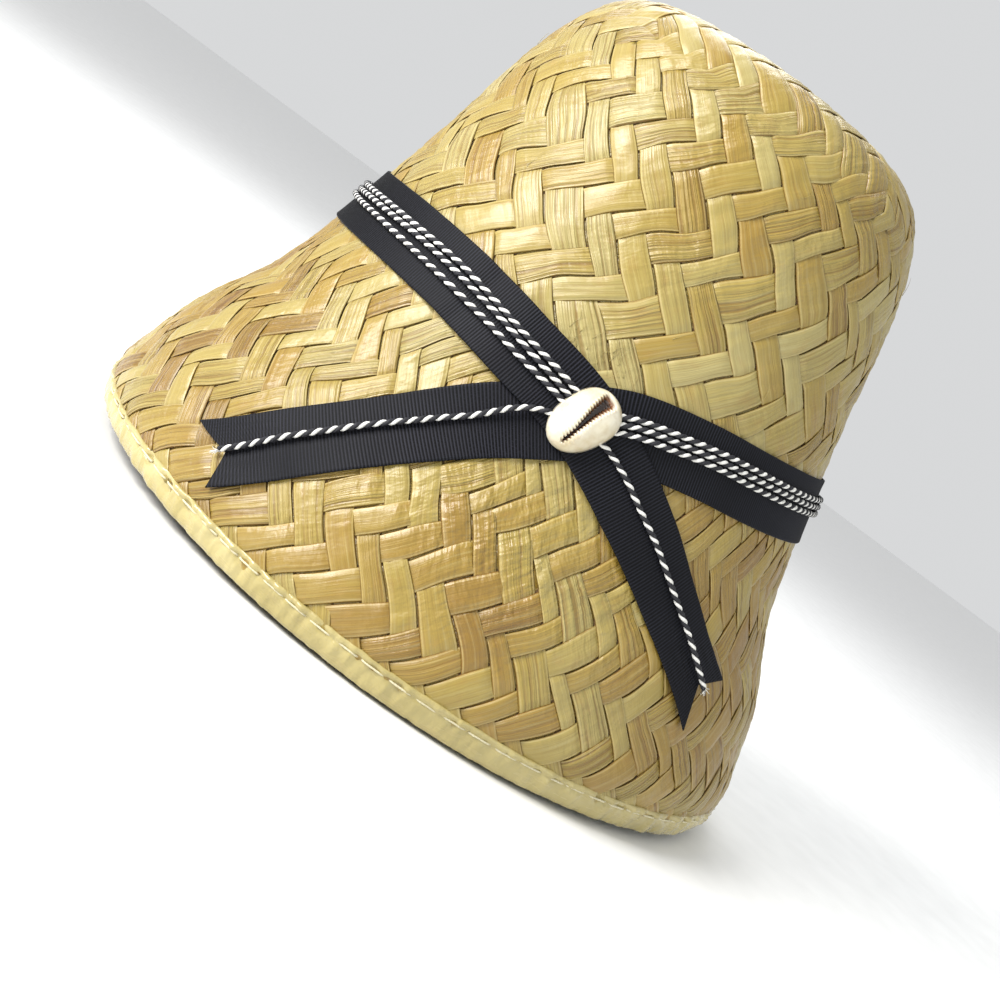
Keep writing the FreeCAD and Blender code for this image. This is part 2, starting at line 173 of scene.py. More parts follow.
def gridFaces(rows, columns, closeRows=False, closeColumns=False):
    # quads between neighbouring rows and columns, and from the last back to the first if closed
    r, c = np.meshgrid(np.arange(rows if closeRows else rows - 1),
                       np.arange(columns if closeColumns else columns - 1), indexing="ij")
    r1, c1 = (r + 1) % rows, (c + 1) % columns
    corners = [r * columns + c, r * columns + c1, r1 * columns + c1, r1 * columns + c]
    return np.stack(corners, -1).reshape(-1, 4)


def signedVolume(points, faces):
    # a sixth of the corners' box products added up: below zero where faces point inwards
    a, b, c, d = (points[faces[:, k]] for k in range(4))
    return float(np.sum(np.cross(a, b) * c) + np.sum(np.cross(a, c) * d)) / 6


def makePiece(name, parts, material, attributes=()):
    # joins parts, each (points, quads, caps, uv, values), into one mesh with its faces outwards
    points, faces, uvs, values, start = [], [], [], {a: [] for a in attributes}, 0
    for pts, quads, caps, uv, vals in parts:
        pts = pts.reshape(-1, 3)
        flip = signedVolume(pts, quads) < 0
        for block in [quads] + ([caps] if caps is not None else []):
            faces.append((block[:, ::-1] if flip else block) + start)
        points.append(pts)
        uvs.append(uv.reshape(-1, 2))
        for a in attributes:
            single = np.ndim(vals[a]) == 0
            values[a].append(np.full(len(pts), vals[a]) if single else vals[a].reshape(-1))
        start += len(pts)
    points, uvs = np.concatenate(points) * mm, np.concatenate(uvs) * mm
    corners = np.concatenate([f.reshape(-1) for f in faces]).astype(np.int32)
    sizes = np.concatenate([np.full(len(f), f.shape[1]) for f in faces]).astype(np.int32)
    mesh = bpy.data.meshes.new(name)
    mesh.vertices.add(len(points))
    mesh.vertices.foreach_set("co", points.astype(np.float32).reshape(-1))
    mesh.loops.add(len(corners))
    mesh.loops.foreach_set("vertex_index", corners)
    mesh.polygons.add(len(sizes))
    starts = np.concatenate([[0], np.cumsum(sizes)[:-1]])
    mesh.polygons.foreach_set("loop_start", starts.astype(np.int32))
    mesh.polygons.foreach_set("use_smooth", np.ones(len(sizes), bool))
    mesh.update(calc_edges=True)
    layer = mesh.uv_layers.new(name="UVMap")
    layer.data.foreach_set("uv", uvs[corners].astype(np.float32).reshape(-1))
    for a in attributes:
        made = mesh.attributes.new(a, "FLOAT", "POINT")
        made.data.foreach_set("value", np.concatenate(values[a]).astype(np.float32))
    mesh.validate()
    piece = bpy.data.objects.new(name, mesh)
    bpy.context.scene.collection.objects.link(piece)
    piece.data.materials.append(material)
    print(name, len(mesh.polygons), "faces")
    return piece


class Recipe:
    # short way to place shader nodes and join them
    def __init__(self, name):
        self.material = bpy.data.materials.new(name)
        self.material.use_nodes = True
        self.tree = self.material.node_tree
        self.shader = self.tree.nodes["Principled BSDF"]

    def add(self, kind, links=(), sockets=(), **settings):
        # a new node with its settings, its sockets' values and its links
        made = self.tree.nodes.new(kind)
        for key, value in settings.items():
            setattr(made, key, value)
        for key, value in dict(sockets).items():
            made.inputs[key].default_value = value
        for key, value in dict(links).items():
            self.tree.links.new(value, made.inputs[key])
        return made

    def give(self, socket, source):
        self.tree.links.new(source, self.shader.inputs[socket])

    def setUp(self, **sockets):
        for key, value in sockets.items():
            self.shader.inputs[key.replace("_", " ")].default_value = value

    def uvScaled(self, alongScale, acrossScale):
        # the piece's own map in metres, times a scale each way
        uv = self.add("ShaderNodeUVMap", uv_map="UVMap")
        return self.add("ShaderNodeMapping", {"Vector": uv.outputs[0]},
                        {"Scale": (alongScale, acrossScale, 1)}).outputs[0]

    def noise(self, vector, scale=1.0, detail=2.0, roughness=0.5):
        return self.add("ShaderNodeTexNoise", {"Vector": vector},
                        {"Scale": scale, "Detail": detail, "Roughness": roughness}).outputs[0]

    def objectCoordinates(self):
        return self.add("ShaderNodeTexCoord").outputs["Object"]

    def valueOf(self, attribute):
        # a value kept at the mesh's points
        return self.add("ShaderNodeAttribute", attribute_name=attribute).outputs["Fac"]

    def colours(self, factor, stops):
        made = self.add("ShaderNodeValToRGB", {"Fac": factor})
        while len(made.color_ramp.elements) < len(stops):
            made.color_ramp.elements.new(0.5)
        for element, (place, colour) in zip(made.color_ramp.elements, stops):
            element.position, element.color = place, (*colour, 1)
        return made.outputs[0]

    def band(self, source, low, high, toLow=0.0, toHigh=1.0):
        # the part of the source from low to high, stretched to toLow to toHigh
        limits = {"From Min": low, "From Max": high, "To Min": toLow, "To Max": toHigh}
        return self.add("ShaderNodeMapRange", {"Value": source}, limits).outputs[0]

    def maths(self, how, a, b):
        made = self.add("ShaderNodeMath", operation=how)
        for socket, value in zip(made.inputs, (a, b)):
            if isinstance(value, (int, float)):
                socket.default_value = value
            else:
                self.tree.links.new(value, socket)
        return made.outputs[0]

    def mix(self, factor, a, b, how="MIX"):
        # colour a where the factor is 0 and b where it is 1
        made = self.add("ShaderNodeMix", {0: factor}, data_type="RGBA", blend_type=how)
        for index, value in ((6, a), (7, b)):
            if isinstance(value, tuple):
                made.inputs[index].default_value = (*value, 1)
            else:
                self.tree.links.new(value, made.inputs[index])
        return made.outputs[2]

    def bump(self, height, distance, strength=1.0, under=None):
        # dents as deep as the distance in metres, on top of the bumps under them
        links = {"Height": height}
        if under is not None:
            links["Normal"] = under
        made = self.add("ShaderNodeBump", links, {"Strength": 1.0, "Distance": distance})
        if isinstance(strength, (int, float)):
            made.inputs["Strength"].default_value = strength
        else:
            self.tree.links.new(strength, made.inputs["Strength"])
        return made.outputs[0]


traits = ("tint", "ridge", "edge", "crumple")


straw = {
    # colours from green and pale to old and brown, by each strip's own tint
    "stops": [(0.0, (0.44, 0.375, 0.155)), (0.25, (0.375, 0.305, 0.100)), (0.5, (0.35, 0.260, 0.056)),
              (0.75, (0.315, 0.205, 0.032)), (1.0, (0.25, 0.145, 0.020))],
    # the edge colours are each strip's browner edge and partly painted shade in the gaps between strips
    "outer": {"fold": (0.70, 0.58, 0.28), "rim": (0.20, 0.10, 0.03), "rough": (0.46, 0.30),
              "coat": 0.14, "shade": 1.0},
    "inner": {"fold": (0.75, 0.62, 0.32), "rim": (0.25, 0.13, 0.05), "rough": (0.62, 0.50),
              "coat": 0.0, "shade": 0.9},
    "blotch": (0.36, 0.21, 0.06), "grain": (0.60, 0.50, 0.32), "pale": (0.55, 0.48, 0.25),
    # painted shade for the furrows between a strip's ridges
    "furrowShade": (0.60, 0.48, 0.30),
    "furrowDeep": 0.0019, "fibreDeep": 0.00016, "creaseDeep": 0.0016,
}


def strawMaterial(side):
    # each strip has its own tint, fibres and ridges with painted shade in the furrows, a paler fold
    # line and a brown edge partly painted as shade between strips
    look = straw[side]
    recipe = Recipe(side + "Straw")
    tint, ridge, edge, crumple = (recipe.valueOf(trait) for trait in traits)
    cloud = recipe.noise(recipe.objectCoordinates(), 14, 3)
    cloudy = recipe.maths("ADD", tint, recipe.band(cloud, 0.3, 0.7, -0.16, 0.16))
    base = recipe.colours(cloudy, [(p, tuple(look["shade"] * v for v in c)) for p, c in straw["stops"]])
    blotch = recipe.noise(recipe.uvScaled(120, 190), 1, 3)
    base = recipe.mix(recipe.band(blotch, 0.55, 0.75, 0, 0.35), base, straw["blotch"])
    fibre = recipe.noise(recipe.uvScaled(45, 2300), 1, 3, 0.6)
    base = recipe.mix(recipe.band(fibre, 0.35, 0.75, 0.0, 0.6), base, straw["grain"], "MULTIPLY")
    pale = recipe.noise(recipe.uvScaled(30, 900), 1, 2)
    base = recipe.mix(recipe.band(pale, 0.52, 0.72, 0, 0.20), base, straw["pale"])
    broad = recipe.noise(recipe.uvScaled(16, 900), 1, 2)
    ridged = recipe.band(ridge, 0.1, 0.7, 0.15, 0.85)
    # painted shade: darker where the ridges' bump sinks into a furrow, more on strongly ridged strips
    furrowShade = recipe.maths("MULTIPLY", recipe.band(broad, 0.50, 0.36), ridged)
    base = recipe.mix(furrowShade, base, straw["furrowShade"], "MULTIPLY")
    fold = recipe.maths("MULTIPLY", recipe.band(edge, 0.80, 0.86), recipe.band(edge, 0.95, 0.90))
    base = recipe.mix(recipe.maths("MULTIPLY", fold, 0.22), base, look["fold"])
    # partly painted shade: the outermost band of each strip is darkened for the shade in the gaps
    # between strips and for its browner edge, broken up by a noise
    worn = recipe.noise(recipe.uvScaled(160, 160), 1, 2)
    rim = recipe.maths("MULTIPLY", recipe.band(edge, 0.93, 1.0), recipe.band(worn, 0.3, 0.6, 0.35, 1.0))
    base = recipe.mix(rim, base, look["rim"])
    recipe.give("Base Color", base)
    recipe.give("Roughness", recipe.band(blotch, 0.3, 0.7, *look["rough"]))
    recipe.setUp(Specular_IOR_Level=0.6, Coat_Weight=look["coat"], Coat_Roughness=0.30)
    bumpy = recipe.bump(broad, straw["furrowDeep"], ridge)
    bumpy = recipe.bump(fibre, straw["fibreDeep"], 0.7, bumpy)
    crease = recipe.noise(recipe.uvScaled(300, 130), 1, 2)
    patches = recipe.noise(recipe.objectCoordinates(), 32, 2)
    creased = recipe.maths("ADD", recipe.band(patches, 0.38, 0.66, 0.12, 0.60), crumple)
    recipe.give("Normal", recipe.bump(crease, straw["creaseDeep"], creased, bumpy))
    return recipe.material


outerStraw, innerStraw = strawMaterial("outer"), strawMaterial("inner")


def speckled(name, scale, detail, stops, deep, strong, **finish):
    # one noise gives both the speckled colour and the bumps, if they have any depth
    recipe = Recipe(name)
    speck = recipe.noise(recipe.objectCoordinates(), scale, detail)
    recipe.give("Base Color", recipe.colours(speck, stops))
    recipe.setUp(**finish)
    if deep:
        recipe.give("Normal", recipe.bump(speck, deep, strong))
    return recipe.material


# the ribbon's course comes before the weave, whose strips end under it
ribbon = {
    "width": 25.0, "thickness": 0.7, "clearance": 0.3,
    "raised": 0.35,           # the whole trim stands clear of the plait's high spots
    # angle and height of the ribbon's middle line, from the front end round to the lower end
    "route": [(-48, 1.5), (-40, 14), (-33, 27.5), (-25.8, 46.5), (-17, 67.5), (-7.6, 86),
              (0.8, 97.8), (8.5, 106.3), (15, 111.5), (25, 115.3), (37, 117.8), (79, 121.7),
              (130, 121.5), (180, 120), (230, 118.5), (281, 118), (312, 118.2), (330, 116.9),
              (341, 114.6), (351, 111.5), (360, 108.6), (366.4, 105.3), (373, 99.8),
              (380, 92.7), (390, 80.9), (400.5, 66.1), (409, 52), (417, 38)],
    "overFrom": (337, 348), "overTo": (384, 396),     # where it lies on itself, and where that ends
    "frontHinge": -7.2, "lowerHinge": 380.6,
    "frontTail": 91.5, "lowerTail": 77.5, "notch": 8.6,
    "frontSlant": 3.5, "lowerSlant": -1.5,    # how much further the upper tip reaches than the middle
    "seamFront": 5.0, "seamLower": 366.0,     # hidden under the ornament
    "levelFrom": 5.5,         # from here once round, the route is the band's own
}


def trimLift(angle):
    # the ribbon's underside above the wall: one ribbon higher where it crosses itself
    over = ribbon["thickness"] + ribbon["clearance"]
    on = ramp(angle, *ribbon["overFrom"]) - ramp(angle, *ribbon["overTo"])
    return ribbon["clearance"] + ribbon["raised"] + over * on


def ribbonPlace(angle, across):
    # angle, run and lift of a point across the ribbon, square to its middle line there
    angle = np.asarray(angle, float)
    run = runAt(throughPoints(ribbon["route"], angle))
    ahead = runAt(throughPoints(ribbon["route"], angle + 0.5))
    r = np.interp(run, wallRun, wallR)
    k = hat["widthRatio"]
    perDegree = r * np.hypot(k * np.sin(np.radians(angle)), np.cos(np.radians(angle))) * np.pi / 180
    length = np.hypot(0.5 * perDegree, ahead - run)
    return (angle - (ahead - run) / length * across / perDegree,
            run + 0.5 * perDegree / length * across, trimLift(angle))


routeAngle = np.arange(ribbon["route"][0][0], ribbon["route"][-1][0] + 0.01, 0.1)
routePoint = wall(*ribbonPlace(routeAngle, 0.0))[0]
routeDistance = np.concatenate([[0], np.cumsum(np.linalg.norm(np.diff(routePoint, axis=0), axis=1))])


def distanceAt(angle):
    # the length of ribbon from its front end to an angle
    return np.interp(angle, routeAngle, routeDistance)


def angleAt(distance):
    # and the angle at a length
    return np.interp(distance, routeDistance, routeAngle)


def bandHeight(angle):
    # height of the band's middle line at any angle
    start = ribbon["levelFrom"]
    return throughPoints(ribbon["route"], np.mod(np.asarray(angle) - start, 360) + start)


weave = {
    "half": 10,               # strips each way from the middle of the mat on top of the crown
    # how many strips have been crossed, and the height reached
    "crownLevels": [(10, 219.5), (12.5, 207.5), (16.5, 181.5), (20.5, 153.5), (24.5, 125.5),
                    (28.5, 98), (32, 74)],
    "matPitch": 10.2, "matTurn": 45.0, "matEase": 0.8,
    "brimStrips": 68,         # leaning each way
    "brimLevels": [(-6, 130), (-3.5, 112), (-1.5, 98), (0.5, 84), (2.5, 71), (4.5, 58.5),
                   (6.5, 45), (8.5, 31.5), (10.5, 18), (13.2, 0.4), (15, -11)],
    # a section is place across the strip and height; swing is how far it goes over and under
    "outer": {"middle": -0.32, "swing": 0.47, "sink": 0.28, "samples": (250, 92),
              "section": [(-0.5, -0.42), (-0.462, -0.07), (-0.24, 0.02), (0, 0.05),
                          (0.24, 0.02), (0.462, -0.07), (0.5, -0.42)]},
    "inner": {"middle": -1.42, "swing": -0.26, "sink": 0.08, "samples": (150, 48),
              "section": [(-0.5, 0.30), (-0.44, 0.05), (0, -0.04), (0.44, 0.05), (0.5, 0.30)]},
    "slack": 0.045, "shift": 0.20, "brimShift": 1.1,
    "tuck": 0.56,             # part of the way between two crossings that a strip takes to dive
    "arch": 0.22,             # rise of the middle of a float over two strips
    "cornerWider": 0.14, "cornerSpread": 1.6, "square": 0.06,
    "past": 5,                # both regions go this far past the ribbon's middle line
    "foot": 12.35,            # the brim's strips end under the tape
    "fitting": 12,            # tries at finding where a strip meets the ribbon
    "tan": {"crown": 0.04, "brim": 0.26},     # how much browner each region's strips are
    "wide": {"crown": 9.6, "brim": 9.4},
    "tints": (1.7, 1.9), "tintRange": 0.74,
}
uneven = {
    "perRadian": 100,         # mean radius, which turns an angle into a length
    "wanderAngle": 0.42, "wanderRun": 0.55, "wanderFrom": (3, 14),
    "dent": 0.24, "fineDent": 0.6, "bulge": 0.26, "crumpledBulge": 0.8,
    "lowDent": 0.12,          # share of the dents left where a strip lies under another
    # the brim is crumpled under the ornament
    "at": (186, 66), "spread": (17, 26), "deeper": 3, "edgeStill": 0.75,
}
whole = np.arange(-weave["half"], weave["half"] + 1)
pick = np.random.default_rng(11)
shiftI, shiftJ = (np.where(np.abs(whole) % weave["half"] == 0, 0.0,
                           pick.uniform(-1, 1, len(whole)) * weave["shift"]) for _ in range(2))


def warpI(x):
    # strip numbers moved to the strips' own places, which are a little uneven
    return np.interp(x, whole, whole + shiftI)


def warpJ(x):
    # and the same for the strips that cross those
    return np.interp(x, whole, whole + shiftJ)


crownLevel, crownHeight = np.array(weave["crownLevels"], float).T
crownRun = naturalCurve(crownLevel, runAt(crownHeight))
matReach = wallLength - float(crownRun(weave["half"]))


def crownPlace(x, y):
    # a square mat over the top, each of its corners a quarter turn apart; past the tenth strip
    # the same strips go on down the wall at a slant, forty leaning each way
    half = weave["half"]
    a, b = np.abs(x), np.abs(y)
    level = a + b
    inside = level < half
    lean = 45 + 45 * (b - a) / np.where(inside, np.maximum(level, 1e-6), half)
    reach = level / half * matReach
    blend = ramp(level, 0, half) ** weave["matEase"]
    mx = (1 - blend) * a * weave["matPitch"] + blend * reach * np.cos(np.radians(lean))
    my = (1 - blend) * b * weave["matPitch"] + blend * reach * np.sin(np.radians(lean))
    angle = np.where(inside, np.degrees(np.arctan2(my, mx)), lean)
    run = np.where(inside, wallLength - np.hypot(mx, my), crownRun(np.maximum(level, half)))
    angle = np.where(x < 0, 180 - angle, angle)
    return np.where(y < 0, -angle, angle) + weave["matTurn"], run


def crossingWarp(t, own, first, second):
    # the strips that a strip crosses one after another are shifted, each by its own amount
    half = weave["half"]
    side, reach = np.sign(t), np.abs(t)
    near = np.abs(first(side * np.minimum(reach, half)))
    middle = half + np.abs(second(-own * np.clip(reach - half, 0, half)))
    far = 2 * half + np.abs(first(-side * np.clip(reach - 2 * half, 0, half)))
    return side * np.where(reach < half, near, np.where(reach < 2 * half, middle, far))


def overUnder(position, state):
    # height along a strip: the state of each crossing, eased over part of the way to the next
    first = np.floor(position - 0.5) + 0.5
    part = position - first
    a, b = state(first), state(first + 1)
    eased = ramp(part, 0.5 - weave["tuck"] / 2, 0.5 + weave["tuck"] / 2)
    return a + (b - a) * eased + np.where((a > 0) & (b > 0), weave["arch"] * np.sin(np.pi * part), 0)


def stripParts(angle, run, height, side, region, seed):
    # closed tubes: the section's points across each strip, lifted by its over and under
    settings = weave[side]
    across, crown = np.array(settings["section"]).T
    count, rows, ring = angle.shape
    own = np.random.default_rng(seed)
    alike = np.zeros_like(angle)
    tint = own.beta(*weave["tints"], count) * weave["tintRange"] + weave["tan"][region]
    ridge = own.uniform(0.05, 1, count) ** 1.6
    # the whole plait wanders a little, so no two crossings are the same size
    around, up = np.radians(angle) * uneven["perRadian"], run
    angle = angle + uneven["wanderAngle"] * ripple(around, up, 7, 10, 16, 48)
    hold = ramp(run, *uneven["wanderFrom"])
    run = run + uneven["wanderRun"] * hold * ripple(around, up, 8, 10, 16, 48)
    x = np.radians(angle) * uneven["perRadian"] + own.uniform(0, 900, count)[:, None, None]
    coarse, fine = ripple(x, run, seed + 1, 8, 7, 16), ripple(x, run, seed + 2, 8, 3.5, 7)
    dents = (coarse + uneven["fineDent"] * fine) * uneven["dent"]
    crumple = np.exp(-((np.mod(angle + 180, 360) - uneven["at"][0]) / uneven["spread"][0]) ** 2
                     - ((run - uneven["at"][1]) / uneven["spread"][1]) ** 2)
    if side == "inner":
        # what lies over on the inside is what lies under on the outside
        height = -height
    # a strip bulges and sinks mostly where it lies on top
    highest = uneven["bulge"] + uneven["crumpledBulge"] * crumple ** 2
    dents = np.clip(dents * (1 + uneven["deeper"] * crumple), -settings["sink"], highest)
    dents = dents * (uneven["lowDent"] + (1 - uneven["lowDent"]) * ramp(height, -0.5, 0.7))
    flat = 1 - uneven["edgeStill"] * np.abs(across * 2) ** 3
    lift = settings["middle"] + settings["swing"] * height + crown
    lift = lift + dents * flat * np.sign(settings["swing"])
    points = wall(angle, run, lift)[0]
    middle = points[:, :, ring // 2]
    step = np.linalg.norm(np.diff(middle, axis=1), axis=2)
    along = np.concatenate([np.zeros((count, 1)), np.cumsum(step, axis=1)], 1)
    u = along[:, :, None] + own.uniform(0, 4000, count)[:, None, None]
    v = across * weave["wide"][region] + own.uniform(0, 900, count)[:, None, None]
    edge = np.abs(across * 2) + alike
    return (points, ringFaces(count, rows, ring), endFaces(count, rows, ring),
            np.stack(np.broadcast_arrays(u, v), -1),
            {"tint": tint[:, None, None] + alike, "ridge": ridge[:, None, None] + alike,
             "edge": np.where(edge > 0.99, 1.0, edge), "crumple": 0.7 * crumple})


def crownParts(side):
    # forty strips over the top, twenty each way; both ends run down to the ribbon's middle
    across = np.array(weave[side]["section"])[:, 0]
    rows = weave[side]["samples"][0]
    centre = np.arange(0.5 - weave["half"], weave["half"])
    parts = []
    for seed, first, second, swap in ((21, warpJ, warpI, False), (22, warpI, warpJ, True)):
        ends = []
        for sign in (-1, 1):
            reach = 27.0 - np.abs(centre)     # a first guess
            for _ in range(weave["fitting"]):
                a, b = (sign * reach, centre) if swap else (centre, sign * reach)
                height = bandHeight(crownPlace(a, b)[0]) - weave["past"]
                reach = np.interp(-height, -crownHeight, crownLevel) - np.abs(centre)
            ends.append(sign * reach)
        t = ends[0][:, None] + (ends[1] - ends[0])[:, None] * np.linspace(0, 1, rows)[None, :]
        low, high = second(np.floor(centre)), second(np.floor(centre) + 1)
        half = (high - low) / 2 - weave["slack"] / 2
        own = ((low + high) / 2)[:, None, None]
        level = np.abs(centre)[:, None] + np.abs(t)
        corner = np.exp(-((level - weave["half"]) / weave["cornerSpread"]) ** 2)
        wider = 1 + weave["cornerWider"] * corner
        fixed = own + 2 * (half[:, None] * wider)[:, :, None] * across[None, None, :]
        fixed = fixed + 0 * t[:, :, None]
        moved = crossingWarp(t, np.sign(centre)[:, None], first, second)[:, :, None] + 0 * fixed
        # down the wall, a point off the middle also moves along, so a strip stays square across
        lean = (np.sign(t) * np.sign(centre)[:, None])[:, :, None]
        moved = moved - lean * (fixed - own) * weave["square"] * ramp(np.abs(t), 4, 12)[:, :, None]

        def state(at):
            # over two strips and under two, one step on in each next strip
            level = np.round(np.abs(centre)[:, None] + np.abs(at))
            turn = np.mod(level, 4) > 1.5 if swap else np.mod(level, 4) < 1.5
            return np.where(turn ^ (centre[:, None] * at < 0), 1.0, -1.0)

        height = overUnder(t, state)[:, :, None] + 0 * fixed
        angle, run = crownPlace(moved, fixed) if swap else crownPlace(fixed, moved)
        parts.append(stripParts(angle, run, height, side, "crown", seed))
    return parts


brimLevel, brimHeight = np.array(weave["brimLevels"], float).T
# past the edge, a height below zero stands for the run itself
brimRuns = np.where(brimHeight > 0, runAt(np.maximum(brimHeight, 0)), brimHeight)
brimRun = naturalCurve(brimLevel, brimRuns)
brimShift = [np.random.default_rng(seed).uniform(-1, 1, weave["brimStrips"])
             * weave["shift"] * weave["brimShift"] for seed in (31, 32)]


def brimWarp(x, which):
    # the same for the brim's strips, whose numbers go round
    count = weave["brimStrips"]
    marks = np.arange(-count, 3 * count + 1)
    return np.interp(x, marks, marks + brimShift[which][np.mod(marks, count)])


def brimParts(side):
    # strips leaning each way from the ribbon's middle down to the edge
    across = np.array(weave[side]["section"])[:, 0]
    rows, count = weave[side]["samples"][1], weave["brimStrips"]
    pitch = 360.0 / count
    centre = np.arange(count) + 0.5
    parts = []
    for which, way in ((0, 1), (1, -1)):
        # way 1 falls towards greater angles
        top = np.full(count, -3.0)            # a first guess
        for _ in range(weave["fitting"]):
            angle = pitch * (centre + way * top / 2)
            top = np.interp(-(bandHeight(angle) + weave["past"]), -brimHeight, brimLevel)
        t = top[:, None] + (weave["foot"] - top)[:, None] * np.linspace(0, 1, rows)[None, :]
        low, high = brimWarp(centre - 0.5, which), brimWarp(centre + 0.5, which)
        half = ((high - low) / 2 - weave["slack"] / 2)[:, None, None]
        own = ((low + high) / 2)[:, None, None] + 2 * half * across[None, None, :] + 0 * t[:, :, None]
        other = brimWarp(centre[:, None] + way * t, 1 - which)[:, :, None] + 0 * own
        angle = pitch * (own + other) / 2
        run = brimRun(way * (other - own))

        def state(at):
            # at is the number of the strip crossed
            over = np.mod(np.round(way * (at - centre[:, None])), 4) < 1.5
            return np.where(over if way > 0 else ~over, 1.0, -1.0)

        height = overUnder(centre[:, None] + way * t, state)[:, :, None] + 0 * own
        parts.append(stripParts(angle, run, height, side, "brim", 41 + which))
    return parts


for name, build, side, material in (("plaitedCrown", crownParts, "outer", outerStraw),
                                    ("plaitedBrim", brimParts, "outer", outerStraw),
                                    ("plaitedCrownInside", crownParts, "inner", innerStraw),
                                    ("plaitedBrimInside", brimParts, "inner", innerStraw)):
    piece = makePiece(name, build(side), material, traits)
    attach(piece, "hat")
    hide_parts("woven_body")

# thin dark core between the outer and inner strips, so that no light comes through
core = {"outer": -0.95, "inner": -1.15, "foot": 1.6, "top": 0.6, "around": 160, "up": 70}
s = core["foot"] + (wallLength - core["top"] - core["foot"]) * np.linspace(0, 1, core["up"])
runs = np.concatenate([s, s[::-1]])
lifts = np.repeat([core["outer"], core["inner"]], core["up"])
turns = np.arange(core["around"]) * 360.0 / core["around"]
corePoints = wall(turns[:, None], runs[None, :], lifts[None, :])[0]
coreUv = np.stack(np.broadcast_arrays(turns[:, None], runs[None, :]), -1)
shade = speckled("strawShade", 400, 3, [(0.3, (0.07, 0.04, 0.015)), (0.7, (0.20, 0.12, 0.045))],
                 0.0002, 0.5, Roughness=0.85)
coreFaces = gridFaces(core["around"], len(runs), True, True)
corePiece = makePiece("strawCore", [(corePoints, coreFaces, None, coreUv, {})], shade)
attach(corePiece, "hat")
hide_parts("woven_body")


def tapeMaterial():
    # glossy cloudy tape, soiled along its length, with slanting creases and a fine grain
    recipe = Recipe("edgeTape")
    cloud = recipe.noise(recipe.objectCoordinates(), 30, 3)
    base = recipe.colours(cloud, [(0.3, (0.35, 0.285, 0.10)), (0.5, (0.44, 0.365, 0.145)),
                                  (0.72, (0.52, 0.45, 0.22))])
    soil = recipe.noise(recipe.uvScaled(90, 420), 1, 3)
    base = recipe.mix(recipe.band(soil, 0.56, 0.75, 0, 0.4), base, (0.40, 0.31, 0.13))
    recipe.give("Base Color", base)
    recipe.give("Roughness", recipe.band(soil, 0.3, 0.7, 0.17, 0.32))
    recipe.setUp(Specular_IOR_Level=0.5, Coat_Weight=0.55, Coat_Roughness=0.14)
    crease = recipe.noise(recipe.uvScaled(260, 110), 1, 2)
    fine = recipe.noise(recipe.uvScaled(2400, 2400), 1, 1)
    recipe.give("Normal", recipe.bump(fine, 0.00005, 0.35, recipe.bump(crease, 0.0012, 0.7)))
    return recipe.material


def threadMaterial(name, dark, light):
    # one fine noise along the thread gives both the colour and the bumps
    recipe = Recipe(name)
    twist = recipe.noise(recipe.uvScaled(2200, 900), 1, 2)
    recipe.give("Base Color", recipe.colours(twist, [(0.35, dark), (0.65, light)]))
    recipe.setUp(Roughness=0.6)
    recipe.give("Normal", recipe.bump(twist, 0.0001, 0.5))
    return recipe.material


stitch = {"count": 88, "fill": 0.84, "run": 8.3, "radius": 0.34, "rows": 11, "ring": 7,
          "wander": 0.12, "bow": 0.12, "rise": 0.62, "sunk": 0.28, "outside": 0.30, "inside": -1.98}
tape = {
    "around": stitch["count"] * 9, "pucker": 0.42, "pull": 0.24, "pullSpread": 2.2,
    "middle": -0.85, "halfThick": 1.9,
    "perDegree": 2.4,         # length of edge
    "seam": 180, "fade": 6,   # the two ends meet at the back, and the creases fade out there
    # run and lift of the folded tape's section: down the outside, over the edge, up the inside
    "section": [(10.75, -0.35), (10.62, 0.32), (10.25, 0.62), (9.5, 0.80), (8.85, 0.55), (8.3, 0.30),
                (7.75, 0.62), (6.8, 0.98), (5.6, 1.14), (4.3, 1.20), (3.0, 1.16), (1.8, 1.04),
                (0.8, 0.78), (0.15, 0.30), (-0.1, -0.35), (-0.15, -0.9), (-0.05, -1.6), (0.3, -2.15),
                (1.2, -2.55), (2.6, -2.72), (4.3, -2.78), (6.2, -2.62), (7.7, -2.35), (8.3, -2.15),
                (8.8, -2.3), (9.6, -2.38), (10.3, -2.1), (10.5, -1.6), (10.3, -1.1)],
}


def tapePiece():
    # the section carried round the edge; it puffs out between stitches and has small slanting creases
    seam, fade = tape["seam"], tape["fade"]
    turns = seam + np.arange(tape["around"]) * 360.0 / tape["around"]
    fade = (ramp(turns, seam, seam + fade) * (1 - ramp(turns, seam + 360 - fade, seam + 360)))[:, None]
    run, lift = np.array(tape["section"]).T
    along, up = turns[:, None] * tape["perDegree"], run[None, :]
    side = np.where(lift > tape["middle"], 1.0, -1.0)[None, :]
    outerness = np.clip(np.abs(lift - tape["middle"]) / tape["halfThick"], 0, 1)[None, :]
    phase = turns[:, None] * stitch["count"] / 360.0
    puff = 0.5 - 0.5 * np.cos(2 * np.pi * (phase - 0.5 * stitch["fill"]))
    nearSeam = np.exp(-((up - stitch["run"]) / tape["pullSpread"]) ** 2)
    crease = ripple(along + 0.35 * up * side, up * 0.7, 51, 10, 5, 13) * tape["pucker"]
    crease = fade * (crease + 0.5 * tape["pucker"] * ripple(along, up * 0.4, 52, 6, 2.6, 5))
    proud = crease * (0.8 + nearSeam) - tape["pull"] * puff * nearSeam
    height = lift[None, :] + side * outerness * proud
    shifted = up + 0.25 * fade * ripple(along, 0 * up, 53, 8, 14, 60) * ramp(up, 8, 10.5)
    points = wall(turns[:, None], shifted, height)[0]
    folded = np.cumsum(np.hypot(np.diff(run, prepend=run[0]), np.diff(lift, prepend=lift[0])))
    uv = np.stack(np.broadcast_arrays(along, folded[None, :]), -1)
    faces = gridFaces(len(turns), len(run), True, True)
    return makePiece("tapedEdge", [(points, faces, None, uv, {})], tapeMaterial())


